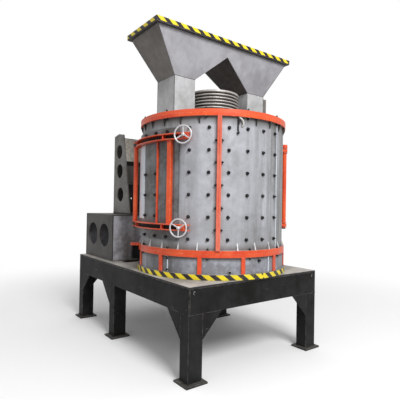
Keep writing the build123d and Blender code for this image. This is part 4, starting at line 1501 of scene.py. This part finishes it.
@dataclass
class Door:
    """Curved door with its red frame, bolts and clamp handwheels. Angles are the front door's."""

    side: Side
    outer: float = 0.872
    arm_radius: float = 0.932
    arm_levels: Pair = (1.435, 2.368)
    bolt_angles: Pair = (-82.5, -96.35)
    corner_angle: float = -71.5
    bolt_rows: tuple[float, ...] = (2.432, 1.995, 1.770, 1.545, 1.330)
    strip_ends: Pair = (1.506, 2.330)
    cover: Pair = (-116.4, -98.2)
    edge: Pair = (-65.0, -62.15)
    seam: Pair = (-76.4, -75.6)
    cover_rise: float = 0.004
    edge_rise: float = 0.009
    edge_round: float = 0.006
    channel: Pair = (-116.8, -62.3)
    channel_half: float = 0.0215
    channel_rise: float = 0.0125
    spacer_angles: Pair = (-112.5, -73.0)
    spacer_half: float = 0.023
    clamp_angles: Pair = (-57.6, -55.7)
    wheel_leads: Pair = (-90.0, 90.0)
    wheel_place: float = 1.004
    rim_radius: float = 0.0885
    rim_bar: float = 0.0079
    spoke_bar: float = 0.0056
    spoke_length: float = 0.074
    spoke_middle: float = 0.0510
    spoke_root: float = 0.03
    spoke_swell: Spot = (1.4, 1.0, 1.15)
    spoke_drop: float = 0.008
    hub_profile: Profile = ((0.0, 0.012), (0.008, 0.012), (0.010, 0.009), (0.015, 0.007),
                            (0.0175, 0.003), (0.0175, -0.016), (0.015, -0.021), (0.0119, -0.021),
                            (0.0119, -0.075), (0.0119, -0.142), (0.009, -0.147), (0, -0.147))

    @property
    def label(self) -> str:
        """Give the side's name as it stands in the piece names."""
        return self.side.name.lower()

    @property
    def body(self) -> Body:
        """Give the body of this door."""
        return Body.DOOR_FRONT if self.side is Side.FRONT else Body.DOOR_REAR

    def carried(self, piece: Piece) -> Piece:
        """Turn a piece modelled for the front door half round the drum, if this is the rear one.

        Args:
            piece: The piece.

        Returns:
            The piece in its place.
        """
        if self.side is Side.FRONT:
            return settle(piece)
        return placed(piece, turned_out(180) @ Matrix.Translation((-AXIS_X, 0, 0)))

    def bolts(self) -> None:
        """Make the bolts on the curved panel."""
        places = [standing_out(angle, self.outer, z) for angle in self.bolt_angles for z in self.bolt_rows]
        places += [standing_out(self.corner_angle, self.outer, self.bolt_rows[row]) for row in (0, -1)]
        bolts = self.carried(copied(SHELL_BOLT.pattern(), places))
        finished(bolts, f"door_bolts_{self.label}", self.body, BOLT)

    def curved_strip(self, span: Pair, ends: Pair, rise: float) -> Piece:
        """Make a raised strip on the curved panel.

        Args:
            span: Angles of its two edges, in degrees.
            ends: Heights of its two ends.
            rise: How far it stands out of the panel.

        Returns:
            The strip.
        """
        (first, last), (low, high) = span, ends
        sunk = -2 * HAIR
        corners = ((sunk, low), (rise, low), (rise, high), (sunk, high), (sunk, low))
        piece = wire([around(self.outer + out, first, z) for out, z in corners])
        with shaping(piece, "VERT"):
            bpy.ops.mesh.select_all(action="SELECT")
            bpy.ops.mesh.remove_doubles(threshold=1e-6)
            bpy.ops.mesh.edge_face_add()
            bpy.ops.mesh.select_mode(type="FACE")
            bpy.ops.mesh.select_all(action="SELECT")
            bpy.ops.mesh.spin(steps=max(2, round(abs(last - first) / 1.2)), center=(AXIS_X, 0, 0),
                              axis=(0, 0, -1), angle=math.radians(last - first))
            bpy.ops.mesh.select_all(action="SELECT")
            bpy.ops.mesh.normals_make_consistent(inside=False)
        return piece

    def strips(self) -> None:
        """Make the pale cover strip by the hinge, and the edge strip by the clamps with a seam."""
        cover = self.curved_strip(self.cover, self.strip_ends, self.cover_rise)
        finished(self.carried(cover), f"door_cover_strip_{self.label}", self.body, PALE)
        edge = self.curved_strip(self.edge, self.strip_ends, self.edge_rise)
        modify(edge, "BEVEL", width=self.edge_round, segments=3, limit_method="ANGLE",
               angle_limit=math.radians(50))
        seam = self.curved_strip(self.seam, self.strip_ends, self.cover_rise)
        finished(self.carried(joined([edge, seam])), f"door_edge_strip_{self.label}", self.body, DOOR)

    def spacers(self) -> None:
        """Make the small uprights between the plates of both arms."""
        radii, half = (self.outer + 0.009, self.arm_radius - 0.004), self.spacer_half
        parts = [upright(angle, radii, (level - half, level + half))
                 for level in self.arm_levels for angle in self.spacer_angles]
        finished(self.carried(joined(parts)), f"door_arm_spacers_{self.label}", self.body, RED)

    def recesses(self) -> None:
        """Make the dark sheet in the channel between the arms' plates, a painted shade."""
        half = self.channel_half
        parts = [self.curved_strip(self.channel, (level - half, level + half), self.channel_rise)
                 for level in self.arm_levels]
        finished(self.carried(joined(parts)), f"door_arm_channels_{self.label}", self.body, BLACK)

    def spoke(self, turn: float) -> Piece:
        """Make one spoke of a clamp handwheel, stouter and deeper at the hub.

        Args:
            turn: Its turn on the wheel's axis, in radians.

        Returns:
            The spoke.
        """
        bpy.ops.mesh.primitive_cylinder_add(vertices=12, radius=self.spoke_bar, depth=self.spoke_length,
                                            location=(0, self.spoke_middle, 0),
                                            rotation=(math.pi / 2, 0, 0))
        spoke = settle(bpy.context.object)
        with shaping(spoke, "VERT") as mesh:
            for vert in mesh.verts:
                vert.select_set(vert.co.y < self.spoke_root)
            inner_end = (0, self.spoke_middle - self.spoke_length / 2, 0)
            bpy.ops.transform.resize(value=self.spoke_swell, center_override=inner_end)
            bpy.ops.transform.translate(value=(0, 0, -self.spoke_drop))
        return placed(spoke, Matrix.Rotation(turn, 4, "Z"))

    def wheel(self, level: float, angle: float, lead: float, label: str) -> None:
        """Make one clamp handwheel with its screw, which stands for its CAD node.

        Args:
            level: Height of its axis.
            angle: Angle of its axis round the drum.
            lead: Turn of the wheel on its axis, in degrees.
            label: "top" or "bottom".
        """
        put_down()
        bpy.ops.mesh.primitive_torus_add(major_segments=56, minor_segments=12, location=ORIGIN,
                                         major_radius=self.rim_radius, minor_radius=self.rim_bar)
        rim = bpy.context.object
        hub = turned(self.hub_profile, 24)
        piece = joined([rim, hub, *(self.spoke(turn * math.tau / 3) for turn in range(3))])
        modify(piece, "WELD", merge_threshold=0.00001)
        spot = standing_out(angle, self.wheel_place, level)
        placed(smooth(piece, 40), spot @ Matrix.Rotation(math.radians(lead), 4, "Z"))
        self.carried(piece)
        name = f"handwheel_{self.label}_{label}"
        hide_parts(name)
        finished(piece, f"{name}_looks", Body(name), CHROME)

    def build(self, frame: dict) -> None:
        """Dress the door's nodes and add its bolts, strips and handwheels.

        Args:
            frame: The loaded frame.
        """
        dressed(frame, DOOR, f"door_panel_{self.label}")
        dressed(frame, RED, f"door_frame_{self.label}")
        self.bolts()
        self.strips()
        self.spacers()
        self.recesses()
        for place in zip(self.arm_levels, self.clamp_angles, self.wheel_leads, ("bottom", "top")):
            self.wheel(*place)


@dataclass
class Rotor:
    """Pulley and the turning parts inside the drum."""

    pulley_top: float = 3.009
    nut_profile: Profile = ((0.055, 0), (0.082, 0), (0.084, 0.002), (0.084, 0.006), (0.074, 0.006),
                            (0.074, 0.015), (0.070, 0.018), (0.0552, 0.018))
    bush_radius: float = 0.097

    def shaft_nut(self) -> None:
        """Make the round nut with its washer at the top of the shaft."""
        nut = placed(smooth(turned(self.nut_profile, 36)), standing_up(0, 0, self.pulley_top))
        finished(nut, "shaft_nut", Body.ROTOR, MACHINED)

    def hub_bolts(self) -> None:
        """Make the bolts of the pulley's taper bush."""
        places = [standing_up(30 + turn * 60, self.bush_radius, self.pulley_top) for turn in range(6)]
        bolt = Fastener(across=0.014, head=0.008, washer=0.018, washer_height=0.002, end=0.0)
        bolt.fitted(places, "pulley_bush_bolts", body=Body.ROTOR)

    def build(self, frame: dict) -> None:
        """Dress the turning parts and add the nut and bolts on top.

        Args:
            frame: The loaded frame.
        """
        dressed(frame, PULLEY, "drive_pulley")
        dressed(frame, MACHINED, "rotor_shaft")
        dressed(frame, WEAR_IRON, "rotor_discs", "hammers", "spreader_cone")
        self.shaft_nut()
        self.hub_bolts()


@dataclass
class Hopper:
    """Hopper on its two chutes."""

    rim_x: float = 0.329
    rim_y: float = 1.012
    rim_low: float = 3.539
    rim_top: float = 3.597
    top_x: float = 0.292
    top_y: float = 0.975
    bend: float = 3.090
    chute_x: float = 0.178
    chute_in: float = 0.410
    chute_out: float = 0.688
    lid_top: float = 2.649
    tape_gap: float = 0.014
    bead: float = 0.0035
    foot_bead: float = 0.005

    def tape(self) -> None:
        """Make the warning tape round the rim."""
        tape = Tape()
        x0, x1 = AXIS_X - self.rim_x - tape.lift, AXIS_X + self.rim_x + tape.lift
        y = self.rim_y + tape.lift
        path = [(x1, -y), (x1, y), (x0, y), (x0, -y)]
        tape.stick(path, self.rim_low + self.tape_gap, self.rim_top - HAIR, "hopper_rim_tape")

    def welds(self) -> None:
        """Make the beads along the hopper's corners, its bend and the feet of the chutes."""
        beads = []
        for a in (-1, 1):
            for b in (-1, 1):
                x, y = AXIS_X + a * self.chute_x, b * self.chute_out
                head = (AXIS_X + a * self.top_x, b * self.top_y, self.rim_low)
                beads.append(rod([(x, y, self.lid_top + 0.003), (x, y, self.bend), head], self.bead))
        xs = (AXIS_X - self.chute_x, AXIS_X + self.chute_x)
        for b in (-1, 1):
            ys = (b * self.chute_in, b * self.chute_out)
            beads.append(bead_round(xs, ys, self.bend, self.bead))
            beads.append(bead_round(xs, ys, self.lid_top + HAIR, self.foot_bead))
        finished(joined(beads), "hopper_welds", Body.BASE, WELD)

    def build(self, frame: dict) -> None:
        """Dress the hopper and add its tape and welds.

        Args:
            frame: The loaded frame.
        """
        dressed(frame, HOPPER, "hopper_side_walls")
        dressed(frame, CHUTE, "feed_chutes")
        # The end walls and chute strip carry painted shade.
        dressed(frame, SHADED_HOPPER_END, "hopper_end_walls", "chute_strip")
        dressed(frame, SADDLE, "hopper_saddle")
        dressed(frame, RIM, "hopper_rim")
        self.tape()
        self.welds()


@dataclass
class MotorStand:
    """Empty motor stand on its box."""

    back: float = -1.384
    front: float = -0.473
    box_y: float = 0.836
    deck_top: float = 0.910
    box_top: float = 1.520
    foot_top: float = 1.540
    gusset_y: float = 0.576
    gusset_back: float = -1.028
    gusset_foot: float = -0.507
    side_bolts: tuple[float, ...] = (-0.955, -0.830, -0.705, -0.580)
    side_y: float = 0.515
    end_bolts: tuple[float, ...] = (-0.36, -0.18, 0.0, 0.18, 0.36)
    end_margins: Pair = (0.060, 0.040)
    corner_bead: float = 0.004
    foot_bead: float = 0.006
    top_bead: float = 0.003
    top_drop: float = 0.014
    gusset_bead: float = 0.005

    def foot_bolts(self) -> None:
        """Make the bolts that hold the stand's foot flange on the box."""
        spots = [(x, y) for x in self.side_bolts for y in (-self.side_y, self.side_y)]
        ends = (self.gusset_back + self.end_margins[0], self.gusset_foot - self.end_margins[1])
        spots += [(x, y) for y in self.end_bolts for x in ends]
        places = [Matrix.Translation((x, y, self.foot_top)) for x, y in spots]
        bolt = Fastener(across=0.032, head=0.018, washer=0.044, end=0.014, end_radius=0.010)
        bolt.fitted(places, "stand_foot_bolts", WASHER)

    def welds(self) -> None:
        """Make the beads at the box's corners and along its foot."""
        xs, ys = (self.back, self.front), (-self.box_y, self.box_y)
        beads = []
        for x, y in ((xs[0], ys[0]), (xs[1], ys[0]), (xs[1], ys[1]), (xs[0], ys[1])):
            path = [(x, y, self.deck_top + 4 * HAIR), (x, y, self.box_top - 2 * HAIR)]
            beads.append(rod(path, self.corner_bead))
        beads.append(bead_round(xs, ys, self.deck_top + HAIR, self.foot_bead))
        beads.append(bead_round(xs, ys, self.box_top - self.top_drop, self.top_bead))
        for y in (-self.gusset_y, self.gusset_y):
            path = [(x, y, self.foot_top) for x in (self.gusset_back, self.gusset_foot)]
            beads.append(rod(path, self.gusset_bead))
        finished(joined(beads), "motor_stand_welds", Body.BASE, SHADED_STAND_GREY)

    def build(self, frame: dict) -> None:
        """Dress the motor stand and add its bolts and welds.

        Args:
            frame: The loaded frame.
        """
        # The stand's grey goes on as painted shade on the box's sides, as painted light on the lower panel
        # and gussets, and as a painted highlight on the box's ends.
        dressed(frame, SHADED_STAND_GREY, "motor_box_sides", "motor_box_top", "motor_stand_foot", "motor_plate")
        dressed(frame, LIGHTENED_STAND_GREY, "motor_gussets", "motor_lower_panel")
        dressed(frame, LIT_STAND_GREY, "motor_box_ends")
        dressed(frame, PANEL, "motor_front_panel")
        self.foot_bolts()
        self.welds()


@dataclass(frozen=True)
class Lamp:
    """Square soft lamp. Its power is in watts."""

    name: str
    spot: Spot
    target: Spot
    size: float
    power: float

    def build(self) -> None:
        """Make the lamp, pointed at its target."""
        data = bpy.data.lights.new(self.name, "AREA")
        data.size, data.energy = self.size, self.power
        lamp = bpy.data.objects.new(self.name, data)
        lamp.location = self.spot
        lamp.rotation_euler = (Vector(self.target) - Vector(self.spot)).to_track_quat("-Z", "Y").to_euler()
        bpy.context.scene.collection.objects.link(lamp)


@dataclass
class Studio:
    """Pale floor, soft lights and the camera at the photograph's angle."""

    camera_spot: Spot = (4.334, -3.016, 1.670)
    azimuth: float = 53.134
    pitch: float = 0.699
    roll: float = 0.975
    lens: float = 35.35
    sensor: float = 36.0
    far: float = 200.0
    pale: float = 0.96
    bounce: float = 0.30
    glow: float = 0.60
    fade: Pair = (2.2, 6.5)
    lamps: tuple[Lamp, ...] = (Lamp("key", (8.1, -1.6, 7.9), (0.4, 0.0, 1.7), 3.6, 820.0),
                               Lamp("fill", (1.0, -8.0, 4.0), (0.2, 0.0, 1.6), 5.0, 25.0))

    def camera(self) -> None:
        """Make the camera."""
        data = bpy.data.cameras.new("camera")
        data.lens, data.sensor_width, data.clip_end = self.lens, self.sensor, self.far
        camera = bpy.data.objects.new("camera", data)
        turn = Matrix.Rotation(math.radians(self.azimuth), 4, "Z")
        lift = Matrix.Rotation(math.radians(90 + self.pitch), 4, "X")
        tilt = Matrix.Rotation(math.radians(self.roll), 4, "Z")
        camera.matrix_world = Matrix.Translation(self.camera_spot) @ turn @ lift @ tilt
        bpy.context.scene.collection.objects.link(camera)
        bpy.context.scene.camera = camera

    def floor(self) -> None:
        """Make the floor, which looks white but throws little light back up."""
        put_down()
        bpy.ops.mesh.primitive_plane_add(size=90.0, location=(0, 0, -0.0005))
        floor = bpy.context.object
        floor.name = "studio_floor"
        material = bpy.data.materials.new("studio_floor")
        material.use_nodes = True
        material.node_tree.nodes.clear()
        tree = Tree(material.node_tree)
        rays = tree.add("LightPath")
        seen = tree.math("MAXIMUM", rays.outputs["Is Camera Ray"], rays.outputs["Is Glossy Ray"])
        dark, light = (self.bounce,) * 3 + (1.0,), (self.pale,) * 3 + (1.0,)
        shader = tree.add("BsdfPrincipled", in_Base_Color=tree.blend(seen, dark, light), in_Roughness=0.9)
        away = tree.add("VectorMath", operation="LENGTH", in_0=tree.add("TexCoord").outputs["Object"])
        faded = tree.add("MapRange", interpolation_type="SMOOTHSTEP", in_Value=away.outputs["Value"],
                         in_From_Min=self.fade[0], in_From_Max=self.fade[1])
        share = tree.times(faded.outputs[0], rays.outputs["Is Camera Ray"])
        white = tree.add("Emission", in_Color=WHITE, in_Strength=1.0)
        mixed = tree.add("MixShader", in_0=share, in_1=shader.outputs[0], in_2=white.outputs[0])
        tree.add("OutputMaterial", in_Surface=mixed.outputs[0])
        floor.data.materials.append(material)

    def world(self) -> None:
        """Make the soft surrounding light, seen as white."""
        world = bpy.data.worlds.new("studio")
        world.use_nodes = True
        world.node_tree.nodes.clear()
        tree = Tree(world.node_tree)
        seen = tree.add("LightPath").outputs["Is Camera Ray"]
        strength = tree.add("MapRange", in_Value=seen, in_To_Min=self.glow, in_To_Max=1.0)
        light = tree.add("Background", in_Color=WHITE, in_Strength=strength.outputs[0])
        tree.add("OutputWorld", in_Surface=light.outputs[0])
        bpy.context.scene.world = world

    def build(self) -> None:
        """Make the floor, the lights and the camera."""
        bpy.context.scene.view_settings.view_transform = "Standard"
        self.floor()
        self.world()
        for lamp in self.lamps:
            lamp.build()
        self.camera()


def main() -> None:
    """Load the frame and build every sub-assembly."""
    logging.basicConfig(level=logging.INFO, format="%(name)s %(message)s")
    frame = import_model()
    put_down()
    Studio().build()
    Stand().build(frame)
    Drum().build(frame)
    Door(Side.FRONT).build(frame)
    Door(Side.REAR).build(frame)
    Rotor().build(frame)
    Hopper().build(frame)
    MotorStand().build(frame)


if __name__ == "__main__":
    main()
